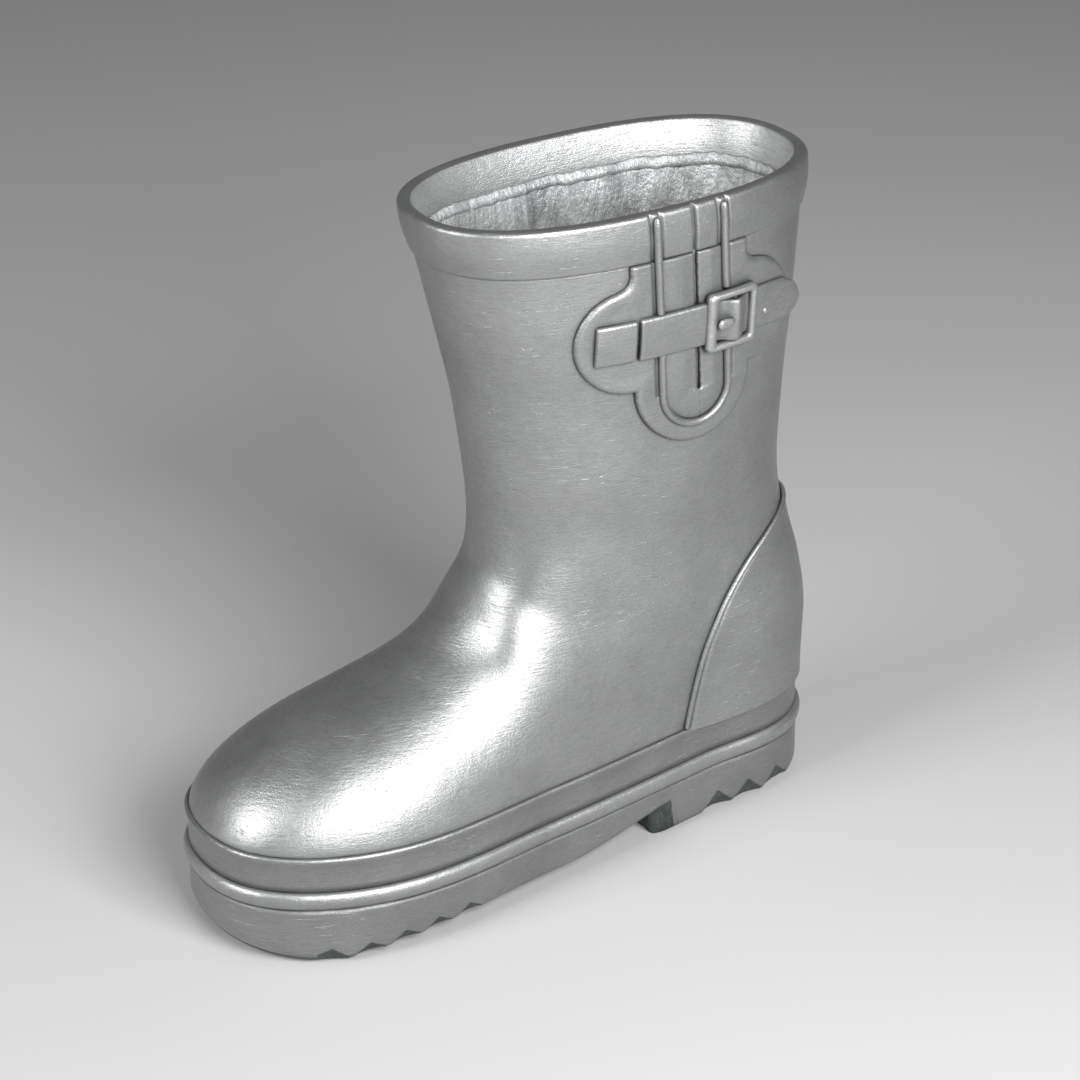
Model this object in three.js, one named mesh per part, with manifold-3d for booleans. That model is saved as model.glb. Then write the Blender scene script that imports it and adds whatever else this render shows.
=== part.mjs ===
import * as THREE from 'three';
import Module from 'manifold-3d';
import { mergeVertices } from 'three/addons/utils/BufferGeometryUtils.js';

const wasm = await Module();
wasm.setup();

// Life-size ornamental wellington boot, in millimetres. +Z is up, the toe points to -X and
// the buckle is on the -Y side. Heights called h are measured from the top of the sole stack.
const SOLE_TOP = 49;
const RIM_TOP = 300;
const WALL = 5;
const GAP = 0.3;

// Plan of the foot: half-length, end roundness and half-width stations from toe to heel.
const FOOT_HALF_LENGTH = 149.5;
const FOOT_ROUNDNESS = 2.17;
const MEDIAL_WIDTH = through([[-149.5, 80], [-131, 73], [-79, 61.5], [0, 50], [79, 47], [131, 53]]);
const LATERAL_WIDTH = through([[-149.5, 80], [-131, 73], [-79, 63.5], [0, 47.5], [79, 42], [131, 55]]);

// The upper stands this far inside the foot's plan.
const UPPER_INSET = 2.5;
const UPPER_HALF_LENGTH = FOOT_HALF_LENGTH - UPPER_INSET;

// Side view: height of the toe and vamp over x, then the leg's front and back edges over h.
const VAMP_TOP = through([[-147, 1], [-140, 14], [-122, 28], [-97, 40], [-66, 49], [-40, 58.5],
  [-24, 71], [-14, 90], [10, 122]]);
const LEG_FRONT = through([[0, 20], [60, 5], [90, -14], [112, -13], [147, -16.5], [175, -20.5],
  [213, -29], [251, -38.2]]);
const LEG_BACK = through([[0, 147], [30, 147], [60, 142.5], [85, 136], [112, 132.5], [160, 134.5],
  [251, 139.8]]);
const LEG_WIDTH = through([[0, 36], [50, 37.5], [100, 39], [150, 42.5], [200, 46], [251, 49.3]]);
const LEG_SQUARENESS = 2.4;
const DOME_ROUNDNESS = 1.9;
const BLEND_RADIUS = 14;

// Toe spring: the toe curls up, from further forward on the underside than on the welt.
const SPRING_START = 8;
const SPRING = 2.1;
const UNDERSIDE_SPRING_START = -108;
const UNDERSIDE_SPRING = 46;

// Sole stack heights.
const BEAD_BOTTOM = 24.4;
const BEAD_TOP = 33;
const TREAD_TOP = 10;
const TREAD_INSET = 1;
const EDGE_BEVEL = 3.5;
const ARCH_FRONT = -40;
const ARCH_LOW = 6.2;
const ARCH_HIGH = 15.2;
const ARCH_END = 64;
const HEEL_BREAST = 51;
const BREAST_CORNER = 13;
const HEEL_NEAR_SIDE = -41.5;
const HEEL_FAR_SIDE = 45;
const WAIST_BEVEL = 2.5;
const ARCH_MIDDLE = 11.7;
const FOREFOOT_CHANNELS = [-113, -97.5, -82, -66.5, -51];
const HEEL_CHANNELS = [88, 105, 122];
const NOTCH_REACH = 5;

// Height of the tread's underside behind the ball of the foot, over x.
const TREAD_RISE = through([[-108, 0], [-96, 2], [-80, 4], [-60, 5.4], [ARCH_FRONT, 6]]);

// Rim band.
const COLLAR_BOTTOM = 279;
const COLLAR_PROUD = 1.3;

// Side gusset: a clover-shaped patch under the rim, its centre line leaning back as it goes down.
const GUSSET_X = 57.8;
const GUSSET_LEAN = 0.09;
const PATCH_HALF_WIDTH = 28.5;
const PATCH_BOTTOM_CENTRE = 221.5;
const LOBE_RADIUS = 23.5;
const LOBE_CENTRE = 245.5;
const LOBE_REACH = 30;
const PATCH_THICK = 1.5;
const CORD_RADIUS = 1.6;
const CORD_HALF_SPACING = 16;
const CORD_BOTTOM_CENTRE = 218;
const SLIT_WIDTH = 1.4;
const SLIT_U = 2;

// Strap and buckle. Heights above the leg's surface are called d.
const STRAP_BOTTOM = 237.5;
const STRAP_TOP = 256;
const STRAP_D = PATCH_THICK + 2 * GAP;
const STRAP_THICK = 1.8;
const STRAP_TIP_LIFT = 2.5;
const STRAP_START = 36.3;
const STRAP_END = 117;
const TAB_START = 17.5;
const TAB_END = 34.8;
const BUCKLE_X = 79.3;
const BUCKLE_Z = 247;
const BUCKLE_D = STRAP_D + STRAP_THICK + GAP;
const BUCKLE_THICK = 2.4;
const BUCKLE_WIDTH = 25.5;
const BUCKLE_HEIGHT = 26;
const BUCKLE_BAR_WIDTH = 4.8;
const BUCKLE_RAIL_WIDTH = 3.2;
const BAR_RADIUS = 0.8;
const BAR_D = BUCKLE_D + 0.4;
const STRAP_RISE = BAR_D + BAR_RADIUS + GAP - STRAP_D;
const PRONG_RADIUS = 0.9;
const PRONG_D = BUCKLE_D + BUCKLE_THICK + GAP + PRONG_RADIUS;
const PRONG_REACH = 11.5;
const PRONG_EYE_RADIUS = 1.8;

const SILVER = 0xb9bbbd;
const DARK_SILVER = 0x77797b;
const SOOT = 0x3c3f40;

// A smooth curve through [x, y] pairs that never overshoots them, level or straight at its ends.
function through(pairs) {
  const steps = pairs.slice(1).map(([x, y], i) => (y - pairs[i][1]) / (x - pairs[i][0]));
  const slopes = pairs.map((_, i) => {
    if (i === 0) return steps[0];
    if (i === steps.length) return steps[i - 1];
    const [a, b] = [steps[i - 1], steps[i]];
    return a * b <= 0 ? 0 : 2 * a * b / (a + b);
  });
  return (x) => {
    const last = pairs.length - 2;
    const i = Math.max(0, Math.min(last, pairs.findIndex(([px]) => px > x) - 1));
    const k = x >= pairs[last][0] ? last : i;
    const [x0, y0] = pairs[k];
    const [x1, y1] = pairs[k + 1];
    const w = x1 - x0;
    const t = Math.max(0, Math.min(1, (x - x0) / w));
    const hermite = t * t * (3 - 2 * t);
    return y0 + (y1 - y0) * hermite
      + w * (slopes[k] * t * (1 - t) ** 2 - slopes[k + 1] * t * t * (1 - t));
  };
}

const arch = (u, power) => Math.max(0, 1 - Math.abs(u) ** power) ** (1 / power);

function smoothMax(a, b, radius) {
  const r = Math.min(radius, a, b);
  if (r <= 0) return Math.max(a, b);
  return Math.max(a, b) + Math.max(0, r - Math.abs(a - b)) ** 2 / (4 * r);
}

// Half-width of the foot's plan at x. side is -1 for the lateral side, +1 for the medial one.
function footHalfWidth(x, side, halfLength) {
  const width = side < 0 ? LATERAL_WIDTH : MEDIAL_WIDTH;
  const inset = FOOT_HALF_LENGTH - halfLength;
  return (width(x) - inset) * arch(x / halfLength, FOOT_ROUNDNESS);
}

const topLift = (x) => SPRING * (Math.max(0, SPRING_START - x) / 100) ** 2;
const undersideLift = (x) => UNDERSIDE_SPRING
  * (Math.max(0, UNDERSIDE_SPRING_START - x) / 100) ** 2;

function legHalfWidth(x, h) {
  const front = LEG_FRONT(h);
  const back = LEG_BACK(h);
  const u = (x - (front + back) / 2) / ((back - front) / 2);
  return LEG_WIDTH(h) * arch(Math.min(1, Math.abs(u)), LEG_SQUARENESS);
}

function upperHalfWidth(x, h, side) {
  const heelPull = (LEG_BACK(h) - UPPER_HALF_LENGTH) * Math.max(0, x / UPPER_HALF_LENGTH);
  const dome = arch(Math.min(1, h / VAMP_TOP(x)), DOME_ROUNDNESS);
  const foot = footHalfWidth(x - heelPull, side, UPPER_HALF_LENGTH) * dome;
  return smoothMax(foot, legHalfWidth(x, h), BLEND_RADIUS * Math.min(1, h / 50));
}

// A function giving the point at a fraction of the length of a side-view curve.
function alongCurve(points) {
  const curve = new THREE.CatmullRomCurve3(points.map(([x, h]) => new THREE.Vector3(x, 0, h)));
  curve.arcLengthDivisions = 400;
  return (fraction) => {
    const p = curve.getPointAt(Math.max(0, Math.min(1, fraction)));
    return [p.x, p.z];
  };
}

const steps = (from, to, count) => Array.from({ length: count + 1 },
  (_, i) => from + (to - from) * i / count);

// The upper is a fan of sections seen from the side: upright over the toe, swinging round the
// instep and level up the leg. Each one runs from the front curve to the back or sole curve.
const FAN_START = -45;
const FAN_FRONT_END = 115;
const FAN_BACK_END = 105;
const fanFront = alongCurve([
  ...steps(FAN_START, -16, 12).map((x) => [x, VAMP_TOP(x)]),
  ...steps(92, FAN_FRONT_END, 8).map((h) => [LEG_FRONT(h), h]),
]);
const fanBack = alongCurve([
  ...steps(FAN_START, UPPER_HALF_LENGTH, 30).map((x) => [x, 0]),
  ...steps(4, FAN_BACK_END, 16).map((h) => [LEG_BACK(h), h]),
]);

function sectionEnds(s, topH) {
  if (s < 1) {
    const x = -UPPER_HALF_LENGTH + (FAN_START + UPPER_HALF_LENGTH) * (1 - Math.cos(s * Math.PI / 2));
    return [[x, VAMP_TOP(x)], [x, 0]];
  }
  if (s < 2) return [fanFront(s - 1), fanBack(s - 1)];
  const front = FAN_FRONT_END + (topH - FAN_FRONT_END) * (s - 2);
  const back = FAN_BACK_END + (topH - FAN_BACK_END) * (s - 2);
  return [[LEG_FRONT(front), front], [LEG_BACK(back), back]];
}

function upperPoint(s, t, side, topH) {
  const [[fx, fh], [bx, bh]] = sectionEnds(s, topH);
  const across = (1 - Math.cos(Math.PI * t)) / 2;
  const x = fx + (bx - fx) * across;
  const h = fh + (bh - fh) * across;
  const onEdge = t <= 0 || (t >= 1 && bh > 0);
  return new THREE.Vector3(x, onEdge ? 0 : side * upperHalfWidth(x, h, side), h);
}

// The same point moved out along the surface's normal; the sole edge only moves level.
function offsetUpperPoint(s, t, side, topH, offset, soleDrop) {
  const point = upperPoint(s, t, side, topH);
  const e = 0.004;
  const alongS = upperPoint(Math.min(3, s + e), t, side, topH)
    .sub(upperPoint(Math.max(0, s - e), t, side, topH));
  const alongT = upperPoint(s, Math.min(1, t + e), side, topH)
    .sub(upperPoint(s, Math.max(0, t - e), side, topH));
  const normal = alongS.cross(alongT).multiplyScalar(side).normalize();
  if (s === 0) normal.set(-1, 0, 0);
  if (t <= 0 || (t >= 1 && point.z > 0)) normal.setY(0).normalize();
  const onSole = point.z <= 0;
  if (onSole || s === 3) normal.setZ(0).normalize();
  point.addScaledVector(normal, offset);
  if (onSole) point.z = -soleDrop;
  point.z += SOLE_TOP + topLift(point.x) * Math.max(0, 1 - point.z / 120);
  return point;
}

// Closed solid between rings of points; every ring has the same count. Ends that already
// close on an edge need no caps.
function loftSolid(rings, capped = true) {
  const count = rings[0].length;
  const positions = rings.flat().flatMap((p) => [p.x, p.y, p.z]);
  const indices = [];
  for (let i = 0; i + 1 < rings.length; i++) {
    for (let j = 0; j < count; j++) {
      const a = i * count + j;
      const b = i * count + (j + 1) % count;
      indices.push(a, b, b + count, a, b + count, a + count);
    }
  }
  for (const [ring, flip] of capped ? [[0, true], [rings.length - 1, false]] : []) {
    const points = rings[ring];
    const centre = points.reduce((sum, p) => sum.add(p), new THREE.Vector3()).divideScalar(count);
    positions.push(centre.x, centre.y, centre.z);
    const middle = positions.length / 3 - 1;
    for (let j = 0; j < count; j++) {
      const a = ring * count + j;
      const b = ring * count + (j + 1) % count;
      indices.push(middle, flip ? b : a, flip ? a : b);
    }
  }
  return toManifold(geometryFrom(positions, indices));
}

// Closed solid swept round a closed loop of sections.
function loopSolid(sections) {
  const count = sections[0].length;
  const positions = sections.flat().flatMap((p) => [p.x, p.y, p.z]);
  const indices = [];
  sections.forEach((_, i) => {
    const here = i * count;
    const next = ((i + 1) % sections.length) * count;
    for (let j = 0; j < count; j++) {
      const k = (j + 1) % count;
      indices.push(here + j, next + j, next + k, here + j, next + k, here + k);
    }
  });
  return toManifold(geometryFrom(positions, indices));
}

function geometryFrom(positions, indices) {
  const geometry = new THREE.BufferGeometry();
  geometry.setAttribute('position', new THREE.Float32BufferAttribute(positions, 3));
  geometry.setIndex(indices);
  return geometry;
}

// Geometry to a manifold body, turned the right way out when it came inside out.
function toManifold(source) {
  const plain = source.clone();
  plain.deleteAttribute('normal');
  plain.deleteAttribute('uv');
  const merged = mergeVertices(plain, 1e-4);
  const corners = Array.from(merged.index.array);
  const kept = [];
  for (let i = 0; i < corners.length; i += 3) {
    const [a, b, c] = corners.slice(i, i + 3);
    if (a !== b && b !== c && c !== a) kept.push(a, b, c);
  }
  const position = merged.attributes.position;
  const p = (i) => new THREE.Vector3().fromBufferAttribute(position, i);
  let volume = 0;
  for (let i = 0; i < kept.length; i += 3) {
    volume += p(kept[i]).dot(p(kept[i + 1]).cross(p(kept[i + 2])));
  }
  if (volume < 0) kept.reverse();
  return new wasm.Manifold(new wasm.Mesh({
    numProp: 3,
    vertProperties: new Float32Array(position.array),
    triVerts: new Uint32Array(kept),
  }));
}

function fromManifold(body) {
  const mesh = body.getMesh();
  return geometryFrom(Array.from(mesh.vertProperties), Array.from(mesh.triVerts));
}

// The whole upper as one solid, grown or shrunk by an offset and cut level at topH.
function upperSolid(offset, topH, soleDrop = 0) {
  const around = 11;
  const stations = [...steps(0, 1, 9), ...steps(1, 2, 11).slice(1), ...steps(2, 3, 5).slice(1)];
  const rings = stations.map((s) => {
    const near = steps(0, 1, around).map((t) => offsetUpperPoint(s, t, -1, topH, offset, soleDrop));
    const far = steps(1, 0, around).map((t) => offsetUpperPoint(s, t, 1, topH, offset, soleDrop));
    return [...near, ...far.slice(0, -1)];
  });
  return loftSolid(rings);
}

// One level ring of the leg at height h, offset outwards.
function legRing(h, offset, count) {
  const front = LEG_FRONT(h) - offset;
  const back = LEG_BACK(h) + offset;
  const width = LEG_WIDTH(h) + offset;
  const power = 2 / LEG_SQUARENESS;
  return steps(0, 2 * Math.PI, count).slice(0, -1).map((angle) => {
    const [c, s] = [Math.cos(angle), Math.sin(angle)];
    return new THREE.Vector3(
      (front + back) / 2 + (back - front) / 2 * Math.sign(c) * Math.abs(c) ** power,
      width * Math.sign(s) * Math.abs(s) ** power,
      SOLE_TOP + h,
    );
  });
}

// Part of the leg between two world heights, offset outwards.
function legSolid(offset, fromZ, toZ, levels = 4, count = 44) {
  return loftSolid(steps(fromZ, toZ, levels).map((z) => legRing(z - SOLE_TOP, offset, count)));
}

function legBand(innerOffset, outerOffset, fromZ, toZ, levels = 4, count = 44) {
  return legSolid(outerOffset, fromZ, toZ, levels, count)
    .subtract(legSolid(innerOffset, fromZ - 3, toZ + 3, levels, count));
}

// A point on the buckle side of the leg, d above the surface, with its normal.
function onLeg(x, z, d = 0) {
  const surface = (px, pz) => new THREE.Vector3(px, -legHalfWidth(px, pz - SOLE_TOP), pz);
  const e = 0.2;
  const alongX = surface(x + e, z).sub(surface(x - e, z));
  const alongZ = surface(x, z + e).sub(surface(x, z - e));
  const normal = alongX.cross(alongZ).normalize();
  return { point: surface(x, z).addScaledVector(normal, d), normal };
}

const gussetX = (u, z) => GUSSET_X + GUSSET_LEAN * (RIM_TOP - z) + u;

// Closed prism across y, from an outline given in side view as [x, z] pairs.
function sidePrism(outline, yFrom = -80, yTo = 0) {
  const shape = new THREE.Shape(outline.map(([x, z]) => new THREE.Vector2(x, z)));
  const geometry = new THREE.ExtrudeGeometry(shape, { depth: yTo - yFrom, bevelEnabled: false });
  geometry.rotateX(Math.PI / 2);
  geometry.translate(0, yTo, 0);
  return toManifold(geometry);
}

// Points on an arc in the gusset's own u, z plane, angles in degrees.
function gussetArc(u, z, radius, from, to, count) {
  return steps(from, to, count).map((degrees) => {
    const angle = THREE.MathUtils.degToRad(degrees);
    const pz = z + radius * Math.sin(angle);
    return [gussetX(u + radius * Math.cos(angle), pz), pz];
  });
}

function cloverOutline(top) {
  const half = PATCH_HALF_WIDTH;
  const corner = LOBE_CENTRE - LOBE_RADIUS;
  return [
    [gussetX(-half, top), top],
    ...gussetArc(-LOBE_REACH, LOBE_CENTRE, LOBE_RADIUS, 90, 270, 12),
    [gussetX(-half, corner), corner],
    ...gussetArc(0, PATCH_BOTTOM_CENTRE - 1, half, 180, 360, 16),
    [gussetX(half, corner), corner],
    ...gussetArc(LOBE_REACH, LOBE_CENTRE, LOBE_RADIUS, -90, 90, 12),
    [gussetX(half, top), top],
  ];
}

function pocketOutline(halfWidth, top) {
  return [
    [gussetX(-halfWidth, top), top],
    ...gussetArc(0, CORD_BOTTOM_CENTRE, halfWidth, 180, 360, 14),
    [gussetX(halfWidth, top), top],
  ];
}

const box = (from, to) => toManifold(new THREE.BoxGeometry(...to.map((v, i) => v - from[i]))
  .translate(...to.map((v, i) => (v + from[i]) / 2)));

// Round-section cord over the leg through side-view points, ending level at both ends.
function cordOnLeg(sidePoints, segments) {
  const d = PATCH_THICK + 2 * GAP + CORD_RADIUS + 0.2;
  const path = new THREE.CatmullRomCurve3(sidePoints.map(([x, z]) => onLeg(x, z, d).point));
  const section = new THREE.Shape(steps(0, 2 * Math.PI, 10).slice(0, -1).map(
    (angle) => new THREE.Vector2(CORD_RADIUS * Math.cos(angle), CORD_RADIUS * Math.sin(angle))));
  return new THREE.ExtrudeGeometry(section, { steps: segments, extrudePath: path });
}

// A flat strip lying over the leg: stations of { x, low, high, d } from front to back.
function stripOnLeg(stations, thickness) {
  return loftSolid(stations.map(({ x, low, high, d }) => [
    onLeg(x, low, d).point,
    onLeg(x, low, d + thickness).point,
    onLeg(x, high, d + thickness).point,
    onLeg(x, high, d).point,
  ]));
}

// Outline of the foot grown by an offset, as plan points.
function footOutline(offset, perSide = 28) {
  const halfLength = FOOT_HALF_LENGTH + offset;
  const side = (sign, from, to) => steps(from, to, perSide).slice(0, -1).map((angle) => {
    const x = halfLength * Math.cos(angle);
    return new THREE.Vector2(x, sign * footHalfWidth(x, sign, halfLength));
  });
  return [...side(1, 0, Math.PI), ...side(-1, Math.PI, 0)];
}

function soleLift(x, z) {
  const share = Math.min(1, Math.max(0, z / BEAD_BOTTOM));
  return undersideLift(x) + (topLift(x) - undersideLift(x)) * share;
}

// Sprung slab of the sole between two heights, its lower side edges bevelled.
function soleSlab(offset, fromZ, toZ, edgeBevel = 0) {
  const halfLength = FOOT_HALF_LENGTH + offset;
  const sections = steps(Math.PI, 0, 28).map((angle) => {
    const x = halfLength * Math.cos(angle);
    const [near, far] = [-1, 1].map((side) => side * footHalfWidth(x, side, halfLength));
    const [low, high] = [fromZ, toZ].map((z) => z + soleLift(x, z));
    const bevel = Math.min(edgeBevel, (far - near) / 4);
    return [[near + bevel, low], [far - bevel, low], [far, low + bevel], [far, high],
      [near, high], [near, low + bevel]].map(([y, z]) => new THREE.Vector3(x, y, z));
  });
  return loftSolid(sections, false);
}

// Band round the foot from a closed section of [offset, z] pairs.
function soleBand(section) {
  const outlines = section.map(([offset, z]) => footOutline(offset).map(
    (p) => new THREE.Vector3(p.x, p.y, z + soleLift(p.x, z))));
  return loopSolid(outlines[0].map((_, i) => outlines.map((outline) => outline[i])));
}

// Channels across the tread at each x: shallow in the middle, deep notches at both side walls.
function cutTreads(body, positions, width, depth, floor) {
  const middle = soleSlab(-TREAD_INSET - NOTCH_REACH, -6, 30);
  return positions.reduce((rest, x) => {
    const wedge = (height) => sidePrism([
      [x - width / 2, floor(x) - 2],
      [x + width / 2, floor(x) - 2],
      [x + 1, floor(x) + height],
      [x - 1, floor(x) + height],
    ], -90, 90);
    return rest.subtract(wedge(depth).subtract(middle)).subtract(wedge(depth * 0.35));
  }, body);
}

function makeShell() {
  const top = COLLAR_BOTTOM - GAP - SOLE_TOP;
  return upperSolid(0, top).subtract(upperSolid(-WALL, top + 0.01, 2).add(
    legSolid(-WALL, 240, 290)));
}

// Backing laid up inside the leg, between two world heights.
function makeLaminate(thickness, fromZ, toZ) {
  const outer = -WALL - 4 * GAP;
  return legBand(outer - thickness, outer, fromZ, toZ, fromZ > 200 ? 1 : 4);
}

function makeCollar() {
  const slit = slitPrism(1);
  return legBand(-WALL, COLLAR_PROUD, COLLAR_BOTTOM, RIM_TOP, 3, 60).subtract(slit);
}

// Upright cutter for the slit in the gusset, opening outwards from depth d below the surface.
function slitPrism(depth) {
  const u = SLIT_U;
  const low = CORD_BOTTOM_CENTRE + 1;
  const outline = [
    [gussetX(u - SLIT_WIDTH / 2, low), low],
    [gussetX(u + SLIT_WIDTH / 2, low), low],
    [gussetX(u + SLIT_WIDTH / 2, 310), 310],
    [gussetX(u - SLIT_WIDTH / 2, 310), 310],
  ];
  return sidePrism(outline, -80, -20).subtract(legSolid(-depth, 190, 320));
}

function patchSkin() {
  return legBand(GAP, GAP + PATCH_THICK, 185, COLLAR_BOTTOM - GAP, 5, 60);
}

function makePatch() {
  return patchSkin()
    .intersect(sidePrism(cloverOutline(290)))
    .subtract(sidePrism(pocketOutline(CORD_HALF_SPACING + GAP / 2, 295)));
}

function makeGussetFlap(sign) {
  const pocket = sidePrism(pocketOutline(CORD_HALF_SPACING - GAP / 2, 290));
  const u = SLIT_U;
  const edge = sign < 0 ? [-40, u - SLIT_WIDTH / 2] : [u + SLIT_WIDTH / 2, 40];
  const half = sidePrism([
    [gussetX(edge[0], 195), 195],
    [gussetX(edge[1], 195), 195],
    [gussetX(edge[1], 300), 300],
    [gussetX(edge[0], 300), 300],
  ]);
  return patchSkin().intersect(pocket).intersect(half);
}

function makeCordLoop() {
  const top = STRAP_BOTTOM - GAP;
  const rearTop = BUCKLE_Z - BUCKLE_HEIGHT / 2 - 2 * GAP;
  return cordOnLeg([
    [gussetX(-CORD_HALF_SPACING, top), top],
    ...gussetArc(0, CORD_BOTTOM_CENTRE, CORD_HALF_SPACING, 180, 360, 8),
    [gussetX(CORD_HALF_SPACING, rearTop), rearTop],
  ], 30);
}

function makeCordStem(sign, bottom) {
  return cordOnLeg(steps(bottom, RIM_TOP - 0.5, 3).map(
    (z) => [gussetX(sign * CORD_HALF_SPACING, z), z]), 6);
}

// Strap: flat on the patch, humped over the buckle's bar, its rounded free end standing off.
function strapStation(x) {
  const fromBar = (x - BUCKLE_X - 1) / 6.5;
  const hump = Math.abs(fromBar) < 1 ? Math.cos(fromBar * Math.PI / 2) ** 2 : 0;
  const tipLength = 7;
  const fromTip = Math.max(0, (x - STRAP_END + tipLength) / tipLength);
  const half = (STRAP_TOP - STRAP_BOTTOM) / 2 * Math.max(0.12, Math.sqrt(1 - Math.min(1, fromTip) ** 2));
  const middle = (STRAP_TOP + STRAP_BOTTOM) / 2 - 3 * Math.max(0, (x - 90) / 29) ** 2;
  const lift = STRAP_TIP_LIFT * Math.max(0, (x - 99) / (STRAP_END - 99)) ** 2;
  return { x, low: middle - half, high: middle + half, d: STRAP_D + STRAP_RISE * hump + lift };
}

function makeStrap() {
  const xs = [
    ...steps(STRAP_START, 72, 7),
    ...steps(73.5, 87, 11),
    ...steps(90, STRAP_END - 7, 6),
    ...steps(STRAP_END - 5, STRAP_END, 5),
  ];
  const strap = stripOnLeg(xs.map(strapStation), STRAP_THICK);
  const [low, high] = [BUCKLE_Z - 1.6, BUCKLE_Z + 1.6];
  const slot = sidePrism([[75, low], [86, low], [86, high], [75, high]]);
  return strap.subtract(slot);
}

function makeTab() {
  const stations = steps(TAB_START, TAB_END, 4).map(
    (x) => ({ x, low: STRAP_BOTTOM + 0.3, high: STRAP_TOP, d: STRAP_D }));
  return stripOnLeg(stations, STRAP_THICK);
}

// Local frame of the buckle: a runs back along the strap, b up and d away from the leg.
const buckleSeat = onLeg(BUCKLE_X, BUCKLE_Z, 0);
const buckleUp = new THREE.Vector3(0, 0, 1)
  .addScaledVector(buckleSeat.normal, -buckleSeat.normal.z).normalize();
const buckleAlong = buckleUp.clone().cross(buckleSeat.normal);
const buckleMatrix = new THREE.Matrix4()
  .makeBasis(buckleAlong, buckleUp, buckleSeat.normal)
  .setPosition(buckleSeat.point);
const BAR_A = 1;

function rectangle(shape, a0, b0, a1, b1) {
  shape.moveTo(a0, b0);
  shape.lineTo(a1, b0);
  shape.lineTo(a1, b1);
  shape.lineTo(a0, b1);
  shape.closePath();
  return shape;
}

const windowLeft = -BUCKLE_WIDTH / 2 + BUCKLE_BAR_WIDTH;
const windowRight = BUCKLE_WIDTH / 2 - BUCKLE_BAR_WIDTH + 1;
const windowHalf = BUCKLE_HEIGHT / 2 - BUCKLE_RAIL_WIDTH;

function makeBuckleFrame() {
  const outer = rectangle(new THREE.Shape(), -BUCKLE_WIDTH / 2, -BUCKLE_HEIGHT / 2,
    BUCKLE_WIDTH / 2, BUCKLE_HEIGHT / 2);
  outer.holes.push(rectangle(new THREE.Path(), windowLeft, -windowHalf, windowRight, windowHalf));
  return new THREE.ExtrudeGeometry(outer, { depth: BUCKLE_THICK, bevelEnabled: false })
    .translate(0, 0, BUCKLE_D)
    .applyMatrix4(buckleMatrix);
}

// The hinge bar's ends stop just short of the frame's rails.
function makeBuckleBar() {
  return new THREE.CylinderGeometry(BAR_RADIUS, BAR_RADIUS, 2 * (windowHalf - GAP), 20)
    .translate(BAR_A, 0, BAR_D)
    .applyMatrix4(buckleMatrix);
}

// The prong: an eye round the bar, a short neck and a rounded pin that rests on the frame.
function makeProng() {
  const half = 1.1;
  const eye = new THREE.CylinderGeometry(PRONG_EYE_RADIUS, PRONG_EYE_RADIUS, 2 * half, 24)
    .translate(BAR_A, 0, BAR_D);
  const hole = new THREE.CylinderGeometry(BAR_RADIUS + 0.06, BAR_RADIUS + 0.06, 4, 20)
    .translate(BAR_A, 0, BAR_D);
  const neckTop = PRONG_D + PRONG_RADIUS * 0.6;
  const neck = new THREE.BoxGeometry(2.2, 2 * half, neckTop - BAR_D - 1.2)
    .translate(BAR_A, 0, (neckTop + BAR_D + 1.2) / 2);
  const pin = new THREE.CapsuleGeometry(PRONG_RADIUS, PRONG_REACH, 4, 12)
    .rotateZ(Math.PI / 2)
    .translate(BAR_A - PRONG_REACH / 2, 0, PRONG_D);
  const body = toManifold(eye).add(toManifold(neck)).add(toManifold(pin)).subtract(toManifold(hole));
  return fromManifold(body).applyMatrix4(buckleMatrix);
}

// Small rivet through the strap's free end, behind the buckle.
function makeRivet() {
  const { point, normal } = onLeg(97.5, 244.5, STRAP_D + STRAP_THICK + GAP);
  const rivet = new THREE.SphereGeometry(1.5, 14, 6, 0, 2 * Math.PI, 0, Math.PI / 2);
  const base = new THREE.CircleGeometry(1.5, 14).rotateX(Math.PI / 2);
  const positions = [...rivet.toNonIndexed().attributes.position.array,
    ...base.toNonIndexed().attributes.position.array];
  const turn = new THREE.Quaternion().setFromUnitVectors(new THREE.Vector3(0, 1, 0), normal);
  return geometryFrom(positions, [...positions.keys()].slice(0, positions.length / 3))
    .applyQuaternion(turn)
    .translate(point.x, point.y, point.z);
}

// The heel panel's edge seen from the side, from the sole up and round to the back.
const COUNTER_EDGE = [[69, 49], [71, 62], [76, 84], [84.7, 104], [92, 115], [101.5, 124.5],
  [112.5, 131.5], [124, 137], [129.5, 139.3], [133, 140.5]];
const COUNTER_TOP = 141;

function makeCounter() {
  const skin = upperSolid(2 * GAP + 1, 150).subtract(upperSolid(2 * GAP, 150.01, 3));
  const inset = 2.2;
  const region = sidePrism([
    ...COUNTER_EDGE.map(([x, z]) => [x + inset, z - inset * 0.3]),
    [165, COUNTER_TOP - inset],
    [165, 45],
    [69 + inset, 45],
  ], -80, 80);
  return skin.intersect(region).intersect(box([40, -80, SOLE_TOP + GAP], [170, 80, 175]));
}

// A point d above the upper's surface on one side.
function onUpper(x, z, side, d) {
  const width = (px, pz) => upperHalfWidth(px, pz - SOLE_TOP, side);
  const e = 0.5;
  const normal = new THREE.Vector3(
    (width(x - e, z) - width(x + e, z)) / (2 * e),
    side,
    (width(x, z - e) - width(x, z + e)) / (2 * e),
  ).normalize();
  return new THREE.Vector3(x, side * width(x, z), z).addScaledVector(normal, d);
}

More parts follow.
